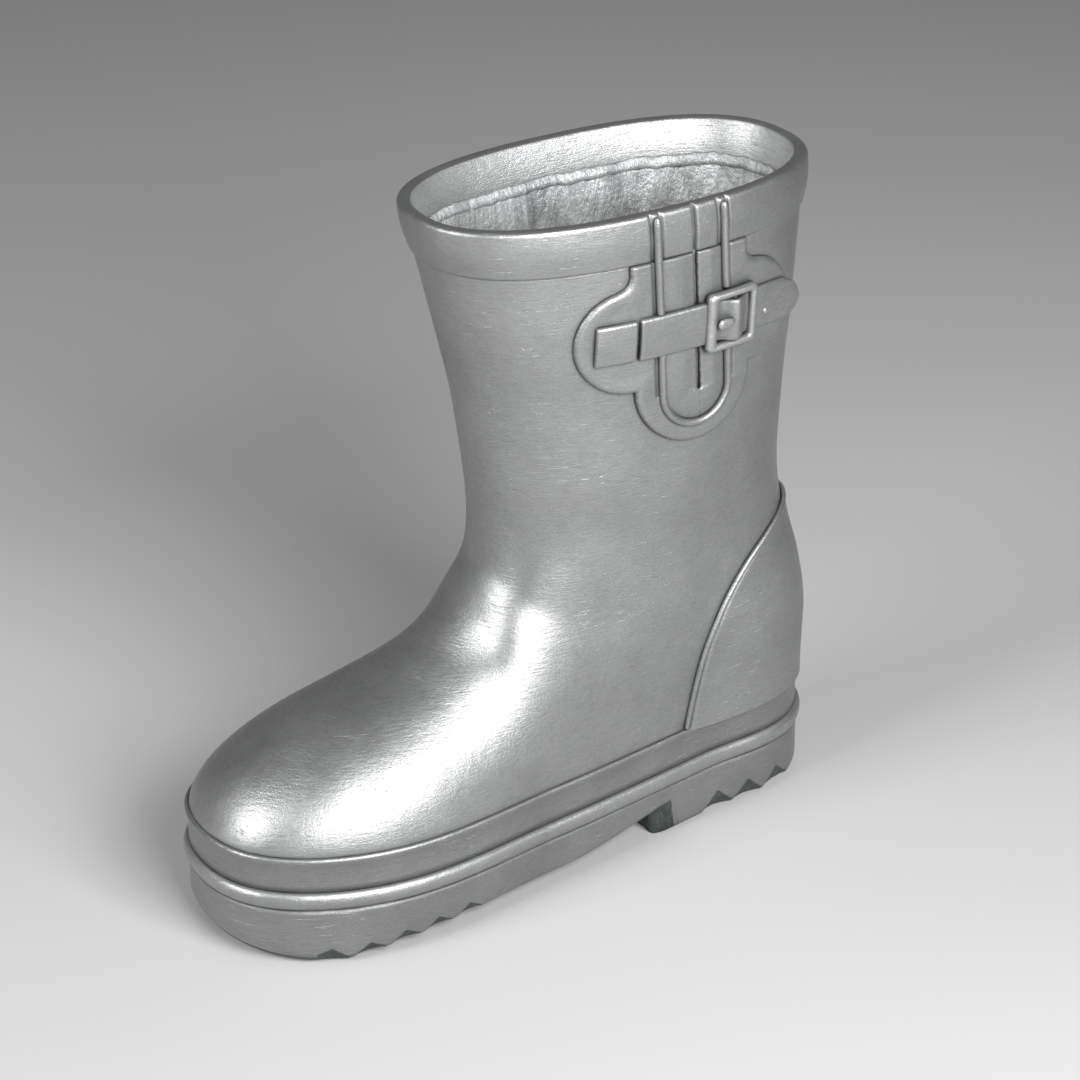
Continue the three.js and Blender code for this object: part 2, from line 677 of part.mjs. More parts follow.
// Raised bead along the heel panel's edge: up one side, round the back and down the other.
function makeCounterBead() {
  const radius = 1.1;
  const stand = 2 * GAP + radius + 0.3;
  const side = (sign) => COUNTER_EDGE.map(
    ([x, z]) => onUpper(x, Math.max(z, SOLE_TOP + radius + GAP), sign, stand));
  const back = LEG_BACK(COUNTER_TOP - SOLE_TOP) + stand;
  const path = new THREE.CatmullRomCurve3([
    ...side(-1),
    new THREE.Vector3(back, 0, COUNTER_TOP),
    ...side(1).reverse(),
  ]);
  const section = new THREE.Shape(steps(0, 2 * Math.PI, 8).slice(0, -1).map(
    (angle) => new THREE.Vector2(radius * Math.cos(angle), radius * Math.sin(angle))));
  return new THREE.ExtrudeGeometry(section, { steps: 48, extrudePath: path });
}

function makeBead() {
  const middle = (BEAD_TOP + BEAD_BOTTOM) / 2;
  const half = (BEAD_TOP - BEAD_BOTTOM) / 2 - GAP;
  const bulge = steps(-90, 90, 6).map((degrees) => {
    const angle = THREE.MathUtils.degToRad(degrees);
    return [-1.6 + 2.4 * Math.cos(angle), middle + half * Math.sin(angle)];
  });
  return soleBand([[-6, middle - half], ...bulge, [-6, middle + half]]);
}

function makeFoxing() {
  const low = BEAD_TOP + GAP;
  const high = SOLE_TOP - GAP;
  return soleBand([[-6, low], [-1.2, low], [-0.9, high - 1.5], [-1.8, high], [-6, high]]);
}

// Upright prism over the heel's plan: flat breast at x = front, with rounded corners.
function heelPlan(front) {
  const corner = front + BREAST_CORNER;
  const shape = new THREE.Shape();
  shape.moveTo(170, -60);
  shape.lineTo(170, 60);
  shape.lineTo(corner, 60);
  shape.absarc(corner, HEEL_FAR_SIDE - BREAST_CORNER, BREAST_CORNER, Math.PI / 2, Math.PI);
  shape.absarc(corner, HEEL_NEAR_SIDE + BREAST_CORNER, BREAST_CORNER, Math.PI, 1.5 * Math.PI);
  shape.lineTo(corner, -60);
  const prism = new THREE.ExtrudeGeometry(shape, { depth: 45, bevelEnabled: false, curveSegments: 5 });
  return toManifold(prism.translate(0, 0, -5));
}

// Middle layer of the sole, with a waist under it that is hollowed into the arch.
function makeOutsole() {
  const slab = soleSlab(-TREAD_INSET, TREAD_TOP + GAP, BEAD_BOTTOM - GAP);
  const heelSpace = heelPlan(HEEL_BREAST - GAP);
  const waist = soleSlab(-TREAD_INSET - GAP, ARCH_LOW, TREAD_TOP + 4, WAIST_BEVEL)
    .intersect(box([ARCH_FRONT + GAP, -90, 0], [ARCH_END + 2, 90, 40]))
    .subtract(heelSpace);
  const hollow = sidePrism([[-2, 2], [-2, ARCH_LOW - 0.6], [40, ARCH_MIDDLE], [ARCH_END + 2, ARCH_HIGH],
    [ARCH_END + 2, 2]], -90, 90);
  return slab.add(waist).subtract(hollow.subtract(heelSpace));
}

function makeForefootTread() {
  const slab = soleSlab(-TREAD_INSET, 0, TREAD_TOP, EDGE_BEVEL);
  const front = slab.intersect(box([-170, -90, -5], [ARCH_FRONT, 90, 40]));
  const floor = (x) => undersideLift(x) + TREAD_RISE(x);
  const underside = steps(-110, ARCH_FRONT + 2, 9).map((x) => [x, floor(x)]);
  const rise = sidePrism([[-110, -9], [ARCH_FRONT + 2, -9], ...underside.reverse()], -90, 90);
  return cutTreads(front.subtract(rise), FOREFOOT_CHANNELS, 13, 3.6, floor);
}

function makeHeelBlock() {
  const slab = soleSlab(-TREAD_INSET, 0, TREAD_TOP, EDGE_BEVEL);
  return cutTreads(slab.intersect(heelPlan(HEEL_BREAST)), HEEL_CHANNELS, 16, 8, () => 0);
}

function makeCore() {
  return soleSlab(-6 - GAP, BEAD_BOTTOM, SOLE_TOP - GAP);
}

function makeFootbed() {
  return soleSlab(-UPPER_INSET - WALL - 3.5, SOLE_TOP + GAP, SOLE_TOP + 3.5);
}

const boot = new THREE.Group();
boot.name = 'wellington_boot';

function add(name, source, color, roughness = 0.35, metalness = 0.9) {
  const geometry = source.isBufferGeometry ? source : fromManifold(source);
  const material = new THREE.MeshStandardMaterial({ color, roughness, metalness });
  material.name = name;
  const mesh = new THREE.Mesh(geometry, material);
  mesh.name = name;
  boot.add(mesh);
}

add('boot_shell', makeShell(), SILVER);
add('top_collar', makeCollar(), SILVER);
add('inner_laminate', makeLaminate(1.8, 165, 281), DARK_SILVER, 0.7);
add('laminate_edge_tape', makeLaminate(2.6, 281.3, 284.5), DARK_SILVER, 0.6);
add('footbed', makeFootbed(), DARK_SILVER, 0.7);
add('heel_counter', makeCounter(), SILVER);
add('counter_bead', makeCounterBead(), SILVER, 0.3);
add('foxing_band', makeFoxing(), SILVER);
add('welt_bead', makeBead(), SILVER, 0.3);
add('sole_core', makeCore(), SOOT, 0.8, 0.2);
add('outsole', makeOutsole(), SILVER, 0.45);
add('forefoot_tread', makeForefootTread(), SOOT, 0.8, 0.3);
add('heel_block', makeHeelBlock(), SOOT, 0.8, 0.3);
add('gusset_patch', makePatch(), SILVER);
add('gusset_flap_front', makeGussetFlap(-1), SILVER);
add('gusset_flap_rear', makeGussetFlap(1), SILVER);
add('gusset_cord_loop', makeCordLoop(), SILVER, 0.3);
add('gusset_cord_front', makeCordStem(-1, STRAP_TOP + GAP), SILVER, 0.3);
add('gusset_cord_rear', makeCordStem(1, STRAP_TOP + GAP + 6), SILVER, 0.3);
add('strap_tab', makeTab(), SILVER);
add('strap', makeStrap(), SILVER);
add('buckle_frame', makeBuckleFrame(), SILVER, 0.25);
add('buckle_bar', makeBuckleBar(), SILVER, 0.3);
add('buckle_prong', makeProng(), SILVER, 0.25);
add('strap_rivet', makeRivet(), SILVER, 0.3);

export default boot;
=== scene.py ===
import math

import bmesh
import bpy
import numpy as np
from mathutils import Matrix, Vector, noise


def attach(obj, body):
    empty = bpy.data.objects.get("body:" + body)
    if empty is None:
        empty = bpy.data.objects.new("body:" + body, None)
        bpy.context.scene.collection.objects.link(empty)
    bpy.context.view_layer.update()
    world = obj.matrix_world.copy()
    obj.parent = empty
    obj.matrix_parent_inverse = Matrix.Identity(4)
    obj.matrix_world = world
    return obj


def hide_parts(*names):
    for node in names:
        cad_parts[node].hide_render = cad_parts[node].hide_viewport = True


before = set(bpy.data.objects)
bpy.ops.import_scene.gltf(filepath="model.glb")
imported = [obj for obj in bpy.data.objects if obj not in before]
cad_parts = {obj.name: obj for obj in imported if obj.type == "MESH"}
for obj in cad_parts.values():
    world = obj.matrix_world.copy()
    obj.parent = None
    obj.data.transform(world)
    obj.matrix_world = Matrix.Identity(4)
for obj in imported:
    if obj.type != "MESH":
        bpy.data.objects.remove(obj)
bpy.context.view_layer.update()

# The boot's sizes in millimetres, as in the CAD part. Only the patch, the strap and the cords are a
# little thicker than there, so that their edges show.
# Heights called h start at the sole's top. Distances called d stand out from the leg's surface.
MM = 0.001
SOLE_TOP = 49.0
RIM_TOP = 300.0
WALL = 5.0
FOOT_HALF_LENGTH = 149.5
FOOT_ROUNDNESS = 2.17
UPPER_INSET = 2.5
UPPER_HALF_LENGTH = FOOT_HALF_LENGTH - UPPER_INSET
LEG_SQUARENESS = 2.4
DOME_ROUNDNESS = 1.9
BLEND_RADIUS = 14.0
SPRING_START = 8.0
SPRING = 2.1
UNDERSIDE_SPRING_START = -108.0
UNDERSIDE_SPRING = 46.0
BEAD_BOTTOM = 24.4
BEAD_TOP = 33.0
WALL_INSET = 1.0
ARCH_FRONT = -40.0
ARCH_LOW = 6.2
ARCH_HIGH = 15.2
ARCH_END = 64.0
BREAST_CORNER = 13.0
WALL_ROWS = 9
COLLAR_BOTTOM = 279.0
COLLAR_PROUD = 1.3
LINING_TOP = 283.0
GUSSET_X = 57.8
GUSSET_LEAN = 0.09
PATCH_HALF_WIDTH = 28.5
PATCH_BOTTOM_CENTRE = 221.5
LOBE_RADIUS = 23.5
LOBE_CENTRE = 245.5
LOBE_REACH = 30.0
PATCH_THICK = 2.1
CORD_RADIUS = 1.7
CORD_HALF_SPACING = 16.0
CORD_BOTTOM_CENTRE = 218.0
SLIT_U = 2.0
SLIT_BOTTOM = 217.0
STRAP_MIDDLE = 246.75
STRAP_HALF_HEIGHT = 9.25
STRAP_START = 36.3
STRAP_END = 117.0
STRAP_D = 2.1
STRAP_THICK = 2.2
STRAP_TIP_LIFT = 2.5
TIP_LENGTH = 9.5
TAB_START = 17.5
TAB_END = 34.8
BUCKLE_X = 79.3
BUCKLE_Z = 247.0
BUCKLE_D = 4.2
BUCKLE_THICK = 2.4
BUCKLE_WIDTH = 25.5
BUCKLE_HEIGHT = 26.0
BUCKLE_BAR_WIDTH = 4.8
BUCKLE_RAIL_WIDTH = 3.2
BAR_A = 1.0
STRAP_RISE = 3.6
PRONG_D = BUCKLE_D + BUCKLE_THICK + 1.2
PRONG_REACH = 11.5
HOOK_RADIUS = 1.35
HINGE_D = BUCKLE_D + 0.4
RIVET_X = 97.5
RIVET_Z = 244.5
CORD_D = 2.2
LINING_BOTTOM = 165.0
RIM_RADIUS = 2.3
COLLAR_EDGE = 1.5

BODY = "boot"


# ---------------------------------------------------------------- shape formulas
def through(pairs):
    """A smooth curve through (x, y) pairs that never overshoots them."""
    xs = np.array([p[0] for p in pairs], float)
    ys = np.array([p[1] for p in pairs], float)
    step = np.diff(ys) / np.diff(xs)
    inner = np.where(step[:-1] * step[1:] > 0,
                     2 * step[:-1] * step[1:] / (step[:-1] + step[1:] + 1e-12), 0)
    slope = np.concatenate([step[:1], inner, step[-1:]])

    def curve(x):
        x = np.clip(np.asarray(x, float), xs[0], xs[-1])
        k = np.clip(np.searchsorted(xs, x, side="right") - 1, 0, len(xs) - 2)
        w = xs[k + 1] - xs[k]
        t = (x - xs[k]) / w
        blend = t * t * (3 - 2 * t)
        bend = slope[k] * t * (1 - t) ** 2 - slope[k + 1] * t * t * (1 - t)
        return ys[k] + (ys[k + 1] - ys[k]) * blend + w * bend

    return curve


medial_width = through([(-149.5, 80), (-131, 73), (-79, 61.5), (0, 50), (79, 47), (131, 53)])
lateral_width = through([(-149.5, 80), (-131, 73), (-79, 63.5), (0, 47.5), (79, 42), (131, 55)])
vamp_top = through([(-147, 1), (-140, 14), (-122, 28), (-97, 40), (-66, 49), (-40, 58.5),
                    (-24, 71), (-14, 90), (10, 122)])
leg_front = through([(0, 20), (60, 5), (90, -14), (112, -13), (147, -16.5), (175, -20.5),
                     (213, -29), (251, -38.2)])
leg_back = through([(0, 147), (30, 147), (60, 142.5), (85, 136), (112, 132.5), (160, 134.5),
                    (251, 139.8)])
leg_width = through([(0, 36), (50, 37.5), (100, 39), (150, 42.5), (200, 46), (251, 49.3)])


def arch(u, power):
    return np.maximum(0, 1 - np.minimum(1, np.abs(u)) ** power) ** (1 / power)


def smooth_step(x, start, end):
    t = np.clip((x - start) / (end - start), 0, 1)
    return t * t * (3 - 2 * t)


def smooth_max(a, b, radius):
    r = np.maximum(np.minimum(np.minimum(radius, a), b), 1e-6)
    return np.maximum(a, b) + np.maximum(0, r - np.abs(a - b)) ** 2 / (4 * r)


def foot_half_width(x, side, half_length):
    width = lateral_width(x) if side < 0 else medial_width(x)
    return (width - FOOT_HALF_LENGTH + half_length) * arch(x / half_length, FOOT_ROUNDNESS)


def top_lift(x):
    return SPRING * (np.maximum(0, SPRING_START - x) / 100) ** 2


def underside_lift(x):
    return UNDERSIDE_SPRING * (np.maximum(0, UNDERSIDE_SPRING_START - x) / 100) ** 2


def leg_half_width(x, h):
    front, back = leg_front(h), leg_back(h)
    return leg_width(h) * arch((x - (front + back) / 2) / ((back - front) / 2), LEG_SQUARENESS)


def upper_half_width(x, h, side):
    heel_pull = (leg_back(h) - UPPER_HALF_LENGTH) * np.maximum(0, x / UPPER_HALF_LENGTH)
    dome = arch(h / vamp_top(x), DOME_ROUNDNESS)
    foot = foot_half_width(x - heel_pull, side, UPPER_HALF_LENGTH) * dome
    return smooth_max(foot, leg_half_width(x, h), BLEND_RADIUS * np.minimum(1, h / 50))


def along_curve(points):
    """A function giving the point at a fraction of a polyline's length."""
    points = np.array(points, float)
    length = np.concatenate([[0], np.cumsum(np.linalg.norm(np.diff(points, axis=0), axis=1))])

    def at(fraction):
        d = np.clip(fraction, 0, 1) * length[-1]
        return np.stack([np.interp(d, length, points[:, k]) for k in (0, 1)], -1)

    return at


FAN_START = -45.0
fan_front = along_curve([(x, vamp_top(x)) for x in np.linspace(FAN_START, -14, 60)]
                        + [(leg_front(h), h) for h in np.linspace(91, 115, 30)])
fan_back = along_curve([(x, 0) for x in np.linspace(FAN_START, UPPER_HALF_LENGTH, 60)]
                       + [(leg_back(h), h) for h in np.linspace(2, 105, 60)])


def section_ends(s, top_h):
    """Front and back end, each (x, h), of the upper's section at station s from 0 to 3."""
    toe_x = -UPPER_HALF_LENGTH + (FAN_START + UPPER_HALF_LENGTH) * (
        1 - np.cos(np.clip(s, 0, 1) * np.pi / 2))
    toe = np.stack([toe_x, vamp_top(toe_x)], -1), np.stack([toe_x, 0 * toe_x], -1)
    fan = fan_front(s - 1), fan_back(s - 1)
    front_h = 115 + (top_h - 115) * (s - 2)
    back_h = 105 + (top_h - 105) * (s - 2)
    leg = np.stack([leg_front(front_h), front_h], -1), np.stack([leg_back(back_h), back_h], -1)
    pick = (s[:, None] >= 1).astype(int) + (s[:, None] >= 2)
    return [np.choose(pick, [toe[k], fan[k], leg[k]]) for k in (0, 1)]


def upper_points(top_h, rows, columns):
    """Grid of points over the upper, in mm: one row per section, near side then far side."""
    s = np.concatenate([np.linspace(0, 1, rows[0], endpoint=False),
                        np.linspace(1, 2, rows[1], endpoint=False),
                        np.linspace(2, 3, rows[2])])
    front, back = section_ends(s, top_h)
    across = (1 - np.cos(np.pi * np.linspace(0, 1, columns))) / 2
    sides = []
    for side in (-1, 1):
        x = front[:, :1] + (back[:, :1] - front[:, :1]) * across
        h = front[:, 1:] + (back[:, 1:] - front[:, 1:]) * across
        y = side * upper_half_width(x, h, side)
        y[:, 0] = 0
        y[back[:, 1] > 0, -1] = 0
        sides.append(np.stack([x, y, h], -1))
    ring = np.concatenate([sides[0], sides[1][:, ::-1][:, :-1]], axis=1)
    ring[..., 2] += SOLE_TOP + top_lift(ring[..., 0]) * np.maximum(0, 1 - ring[..., 2] / 120)
    return ring


def leg_ring(z, offset, angle):
    """Points round the leg at world height z, offset outwards."""
    h = z - SOLE_TOP
    front, back, width = leg_front(h) - offset, leg_back(h) + offset, leg_width(h) + offset
    c, s = np.cos(angle), np.sin(angle)
    power = 2 / LEG_SQUARENESS
    return np.stack([(front + back) / 2 + (back - front) / 2 * np.sign(c) * np.abs(c) ** power,
                     width * np.sign(s) * np.abs(s) ** power,
                     z + 0 * c], -1)


def on_leg(x, z, d):
    """Points d above the buckle side of the leg; x, z and d are arrays."""
    def surface(px, pz):
        return np.stack([px, -leg_half_width(px, pz - SOLE_TOP), pz], -1)
    e = 0.3
    normal = np.cross(surface(x + e, z) - surface(x - e, z), surface(x, z + e) - surface(x, z - e))
    normal /= np.linalg.norm(normal, axis=-1, keepdims=True)
    return surface(x, z) + normal * np.asarray(d)[..., None]


def gusset_x(u, z):
    return GUSSET_X + GUSSET_LEAN * (RIM_TOP - z) + u


def foot_outline(offset, count=220):
    """Plan of the foot as x, y arrays, anticlockwise from the heel."""
    half_length = FOOT_HALF_LENGTH + offset
    angle = np.linspace(0, 2 * np.pi, count, endpoint=False)
    x = half_length * np.cos(angle)
    far = foot_half_width(x, 1, half_length)
    near = -foot_half_width(x, -1, half_length)
    return x, np.where(np.sin(angle) >= 0, far, near)


def sole_lift(x, z):
    share = np.clip(z / BEAD_BOTTOM, 0, 1)
    return underside_lift(x) + (top_lift(x) - underside_lift(x)) * share


# ---------------------------------------------------------------- mesh helpers
def add_piece(name, vertices, faces, material, nodes=(), slot="silver", body=BODY, which=None):
    """Adds one visual piece from vertices in millimetres. which gives each face's material."""
    mesh = bpy.data.meshes.new(name)
    mesh.from_pydata((np.asarray(vertices).reshape(-1, 3) * MM).tolist(), [], list(faces))
    if which is not None:
        mesh.polygons.foreach_set("material_index", which)
    built = bmesh.new()
    built.from_mesh(mesh)
    bmesh.ops.remove_doubles(built, verts=built.verts, dist=1e-6)
    bmesh.ops.dissolve_degenerate(built, edges=built.edges, dist=1e-7)
    bmesh.ops.recalc_face_normals(built, faces=built.faces)
    built.to_mesh(mesh)
    built.free()
    for each in material if isinstance(material, list) else [material]:
        mesh.materials.append(each)
    piece = bpy.data.objects.new(name, mesh)
    bpy.context.scene.collection.objects.link(piece)
    mesh.shade_smooth()
    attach(piece, body)
    if nodes:
        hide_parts(*nodes)
    return piece


def grid_faces(rows, columns, close_rows=False, close_columns=True):
    faces = []
    for i in range(rows if close_rows else rows - 1):
        for j in range(columns if close_columns else columns - 1):
            a, b = i * columns, ((i + 1) % rows) * columns
            k = (j + 1) % columns
            faces.append((a + j, a + k, b + k, b + j))
    return faces


def end_caps(rows, columns):
    """The two end faces of a tube-like grid of rows rings."""
    last = (rows - 1) * columns
    return [tuple(range(columns))[::-1], tuple(last + k for k in range(columns))]


def swept_band(outlines):
    """Vertices and faces of a closed section swept round a loop. outlines: section x loop x 3."""
    points = np.stack(outlines, 1)
    count, section = points.shape[:2]
    return points.reshape(-1, 3), grid_faces(count, section, close_rows=True)


def sole_band(section, count=260):
    """Band round the foot from a closed section of (offset, z)."""
    loops = []
    for offset, z in section:
        x, y = foot_outline(offset, count)
        loops.append(np.stack([x, y, z + sole_lift(x, z)], -1))
    return swept_band(loops)


def relief(name, inside, height, x_range, z_range, material, nodes, base=-0.5, step=0.55):
    """A raised plate over the leg. inside(x, z) is the depth inside its outline in mm, and
    height(x, z) its height. The plate is closed underneath at height base."""
    xs = np.arange(x_range[0], x_range[1] + step, step)
    zs = np.arange(z_range[0], z_range[1] + step, step)
    x, z = np.meshgrid(xs, zs, indexing="ij")
    depth = inside(x, z)
    e = 0.05
    slope_x = (inside(x + e, z) - inside(x - e, z)) / (2 * e)
    slope_z = (inside(x, z + e) - inside(x, z - e)) / (2 * e)
    size = np.maximum(slope_x ** 2 + slope_z ** 2, 0.05)
    near = np.abs(depth) < step * 0.75
    x = np.where(near, x - depth * slope_x / size, x)
    z = np.where(near, z - depth * slope_z / size, z)
    depth = np.where(near, 0, depth)
    keep = depth >= 0
    quad = keep[:-1, :-1] & keep[1:, :-1] & keep[1:, 1:] & keep[:-1, 1:]
    solid = np.maximum.reduce([depth[:-1, :-1], depth[1:, :-1], depth[1:, 1:], depth[:-1, 1:]]) > 0
    quad &= solid
    rows, columns = x.shape
    top = on_leg(x, z, np.where(depth > 0, height(x, z), base)).reshape(-1, 3)
    under = on_leg(x, z, np.full_like(x, base)).reshape(-1, 3)
    faces = []
    for i, j in zip(*np.nonzero(quad)):
        a = i * columns + j
        b = a + columns
        c, d = b + 1, a + 1
        faces.append((a, b, c, d))
        faces.append(tuple(v + rows * columns for v in (d, c, b, a)))
    used = sorted({v for face in faces for v in face})
    renumber = {v: k for k, v in enumerate(used)}
    vertices = np.concatenate([top, under])[used]
    add_piece(name, vertices, [tuple(renumber[v] for v in f) for f in faces], material, nodes)


def pillow(depth, thickness, edge):
    """Height of a plate with a rounded edge: 0 at its outline, thickness at edge mm inside."""
    return thickness * arch(1 - np.clip(depth / edge, 0, 1), 2.2)


def tube(points, radius, sides=14, round_end=False):
    """Vertices and faces of a round tube along points, with closed ends."""
    points = np.array(points, float)
    tangent = np.gradient(points, axis=0)
    tangent /= np.linalg.norm(tangent, axis=1, keepdims=True)
    side = np.cross(tangent, [0.3, -1.0, 0.1])
    side /= np.linalg.norm(side, axis=1, keepdims=True)
    up = np.cross(tangent, side)
    angle = np.linspace(0, 2 * np.pi, sides, endpoint=False)
    radii = np.full(len(points), radius)
    if round_end:
        radii[-4:] = radius * np.array([0.97, 0.88, 0.7, 0.35])
    ring = (points[:, None] + radii[:, None, None] * (np.cos(angle)[None, :, None] * side[:, None]
            + np.sin(angle)[None, :, None] * up[:, None]))
    return ring.reshape(-1, 3), grid_faces(len(points), sides) + end_caps(len(points), sides)


# ---------------------------------------------------------------- distances inside outlines
def clover_depth(x, z):
    """Depth inside the patch's clover outline."""
    u = x - gusset_x(0, z)
    stem = np.where(z > PATCH_BOTTOM_CENTRE, PATCH_HALF_WIDTH - np.abs(u),
                    PATCH_HALF_WIDTH - np.hypot(u, z - PATCH_BOTTOM_CENTRE))
    reach = np.maximum(0, np.abs(u) - LOBE_REACH)
    lobes = LOBE_RADIUS - np.hypot(reach, z - LOBE_CENTRE)
    fillet = 7.0 * smooth_step(z, LOBE_CENTRE, LOBE_CENTRE + 6) + 0.01
    join = np.maximum(fillet - np.abs(stem - lobes), 0)
    return np.maximum(stem, lobes) + join ** 2 / (4 * fillet)


def pocket_depth(x, z, half_width):
    """Depth inside the U-shaped pocket between the cords."""
    u = x - gusset_x(0, z)
    return np.where(z > CORD_BOTTOM_CENTRE, half_width - np.abs(u),
                    half_width - np.hypot(u, z - CORD_BOTTOM_CENTRE))


# ---------------------------------------------------------------- materials
class Nodes:
    """A short way to write a material's node tree."""

    def __init__(self, name):
        self.material = bpy.data.materials.new(name)
        self.material.use_nodes = True
        self.tree = self.material.node_tree
        self.shader = self.tree.nodes["Principled BSDF"]
        self.position = self.tree.nodes.new("ShaderNodeTexCoord").outputs["Object"]

    def link(self, value, socket):
        if isinstance(value, bpy.types.NodeSocket):
            self.tree.links.new(value, socket)
        else:
            socket.default_value = value

    def node(self, kind, inputs, output=0, **settings):
        made = self.tree.nodes.new(kind)
        for key, value in settings.items():
            setattr(made, key, value)
        for key, value in inputs.items():
            self.link(value, made.inputs[key])
        return made.outputs[output]

    def noise(self, scale, detail=4.0, roughness=0.55, stretch=(1, 1, 1), distortion=0.0):
        place = self.node("ShaderNodeMapping", {"Vector": self.position, "Scale": stretch})
        return self.node("ShaderNodeTexNoise", {"Vector": place, "Scale": scale, "Detail": detail,
                         "Roughness": roughness, "Distortion": distortion})

    def ramp(self, value, low, high, out_low=0.0, out_high=1.0):
        return self.node("ShaderNodeMapRange", {"Value": value, "From Min": low, "From Max": high,
                         "To Min": out_low, "To Max": out_high})

    def math(self, operation, a, b=0.0):
        return self.node("ShaderNodeMath", {0: a, 1: b}, operation=operation)

    def mix(self, factor, a, b):
        made = self.tree.nodes.new("ShaderNodeMix")
        made.data_type = "RGBA"
        self.link(factor, made.inputs["Factor"])
        self.link(a, made.inputs["A"])
        self.link(b, made.inputs["B"])
        return made.outputs["Result"]

    def bump(self, height, distance):
        return self.node("ShaderNodeBump", {"Height": height, "Distance": distance, "Strength": 1.0})


def silver_leaf(name="silver_leaf", patina_and_shade=1.0, grain=1.0, tone=1.0, metal=0.92):
    """Satin silver over a cast body: brushed grain, pits, scratches, and creases darkened by antique patina
    and painted shade.
    """
    m = Nodes(name)
    # Ambient occlusion within 7 mm finds the creases. The darkening drawn from it is partly the boot's
    # antique patina and partly painted shade.
    crease = m.node("ShaderNodeAmbientOcclusion", {"Distance": 0.007}, "AO", samples=8)
    broad = m.noise(18, 5, 0.6)
    cloud = m.noise(60, 6, 0.65)
    fine = m.noise(900, 3, 0.6)
    brush = m.noise(160, 5, 0.7, stretch=(1.0, 1.0, 9.0), distortion=0.3)
    pits = m.node("ShaderNodeTexVoronoi", {"Vector": m.position, "Scale": 420.0})
    pit_mask = m.math("MULTIPLY", m.ramp(pits, 0.0, 0.16, 1.0, 0.0), m.ramp(cloud, 0.5, 0.7))
    scratch = m.noise(70, 2, 0.5, stretch=(1.0, 1.0, 24.0), distortion=0.6)
    scratch_mask = m.math("MULTIPLY", m.ramp(scratch, 0.66, 0.7), m.ramp(broad, 0.48, 0.6))
    patina_and_painted_shade = m.math("MULTIPLY", m.ramp(crease, 0.5, 1.0, 1.0, 0.0), m.ramp(cloud, 0.2, 0.6, 0.55, 1.0))
    patina_and_painted_shade = m.math("MULTIPLY", patina_and_painted_shade, patina_and_shade)
    base = m.mix(m.ramp(broad, 0.35, 0.65), (0.50 * tone, 0.505 * tone, 0.51 * tone, 1),
                 (0.64 * tone, 0.645 * tone, 0.65 * tone, 1))
    base = m.mix(m.ramp(fine, 0.35, 0.75, 0.0, 0.35), base, (0.78 * tone, 0.785 * tone, 0.79 * tone, 1))
    base = m.mix(m.ramp(brush, 0.5, 0.75, 0.0, 0.45), base, (0.3 * tone, 0.305 * tone, 0.31 * tone, 1))
    base = m.mix(m.math("MULTIPLY", pit_mask, 0.6), base, (0.2, 0.2, 0.205, 1))
    # The creases are mixed towards near-black: partly patina, partly painted shade.
    base = m.mix(patina_and_painted_shade, base, (0.035, 0.037, 0.036, 1))
    rough = m.ramp(m.math("ADD", m.math("MULTIPLY", cloud, 0.6), m.math("MULTIPLY", brush, 0.4)),
                   0.3, 0.7, 0.36, 0.5)
    rough = m.math("ADD", rough, m.math("MULTIPLY", patina_and_painted_shade, 0.3))
    m.link(base, m.shader.inputs["Base Color"])
    m.link(m.ramp(patina_and_painted_shade, 0.0, 1.0, metal, 0.3), m.shader.inputs["Metallic"])
    m.link(rough, m.shader.inputs["Roughness"])
    height = m.math("ADD", m.math("MULTIPLY", cloud, 0.9), m.math("MULTIPLY", fine, 0.22))
    height = m.math("ADD", height, m.math("MULTIPLY", brush, 0.35))
    height = m.math("SUBTRACT", height, m.math("MULTIPLY", pit_mask, 0.5))
    height = m.math("SUBTRACT", height, m.math("MULTIPLY", scratch_mask, 0.25))
    m.link(m.bump(height, 0.0004 * grain), m.shader.inputs["Normal"])
    return m.material


def rough_backing(name="rough_backing"):
    """Silvered hand-laid backing: coarse upright brush ridges."""
    m = Nodes(name)
    ridges = m.noise(55, 6, 0.7, stretch=(1.0, 1.0, 0.18), distortion=0.8)
    cloud = m.noise(40, 6, 0.6)
    fine = m.noise(500, 3, 0.6)
    base = m.mix(m.ramp(ridges, 0.3, 0.6), (0.16, 0.162, 0.165, 1), (0.45, 0.455, 0.46, 1))
    base = m.mix(m.ramp(cloud, 0.55, 0.8, 0.0, 0.6), base, (0.6, 0.605, 0.61, 1))
    m.link(base, m.shader.inputs["Base Color"])
    m.shader.inputs["Metallic"].default_value = 0.45
    m.link(m.ramp(cloud, 0.3, 0.7, 0.42, 0.62), m.shader.inputs["Roughness"])
    height = m.math("ADD", ridges, m.math("MULTIPLY", fine, 0.12))
    m.link(m.bump(height, 0.005), m.shader.inputs["Normal"])
    return m.material


def bare_resin(name="bare_resin"):
    """Unpainted dark green-black cast resin."""
    m = Nodes(name)
    cloud = m.noise(70, 6, 0.6)
    fine = m.noise(700, 4, 0.6)
    base = m.mix(m.ramp(cloud, 0.3, 0.7), (0.012, 0.017, 0.014, 1), (0.05, 0.062, 0.055, 1))
    base = m.mix(m.ramp(fine, 0.58, 0.75, 0.0, 0.5), base, (0.16, 0.17, 0.165, 1))
    m.link(base, m.shader.inputs["Base Color"])
    m.link(m.ramp(cloud, 0.3, 0.7, 0.55, 0.8), m.shader.inputs["Roughness"])
    m.link(m.bump(m.math("ADD", cloud, m.math("MULTIPLY", fine, 0.3)), 0.0012),
           m.shader.inputs["Normal"])
    return m.material


SILVER = silver_leaf(tone=0.52)
DULL_SILVER = silver_leaf("silver_sole", patina_and_shade=1.0, tone=0.42)
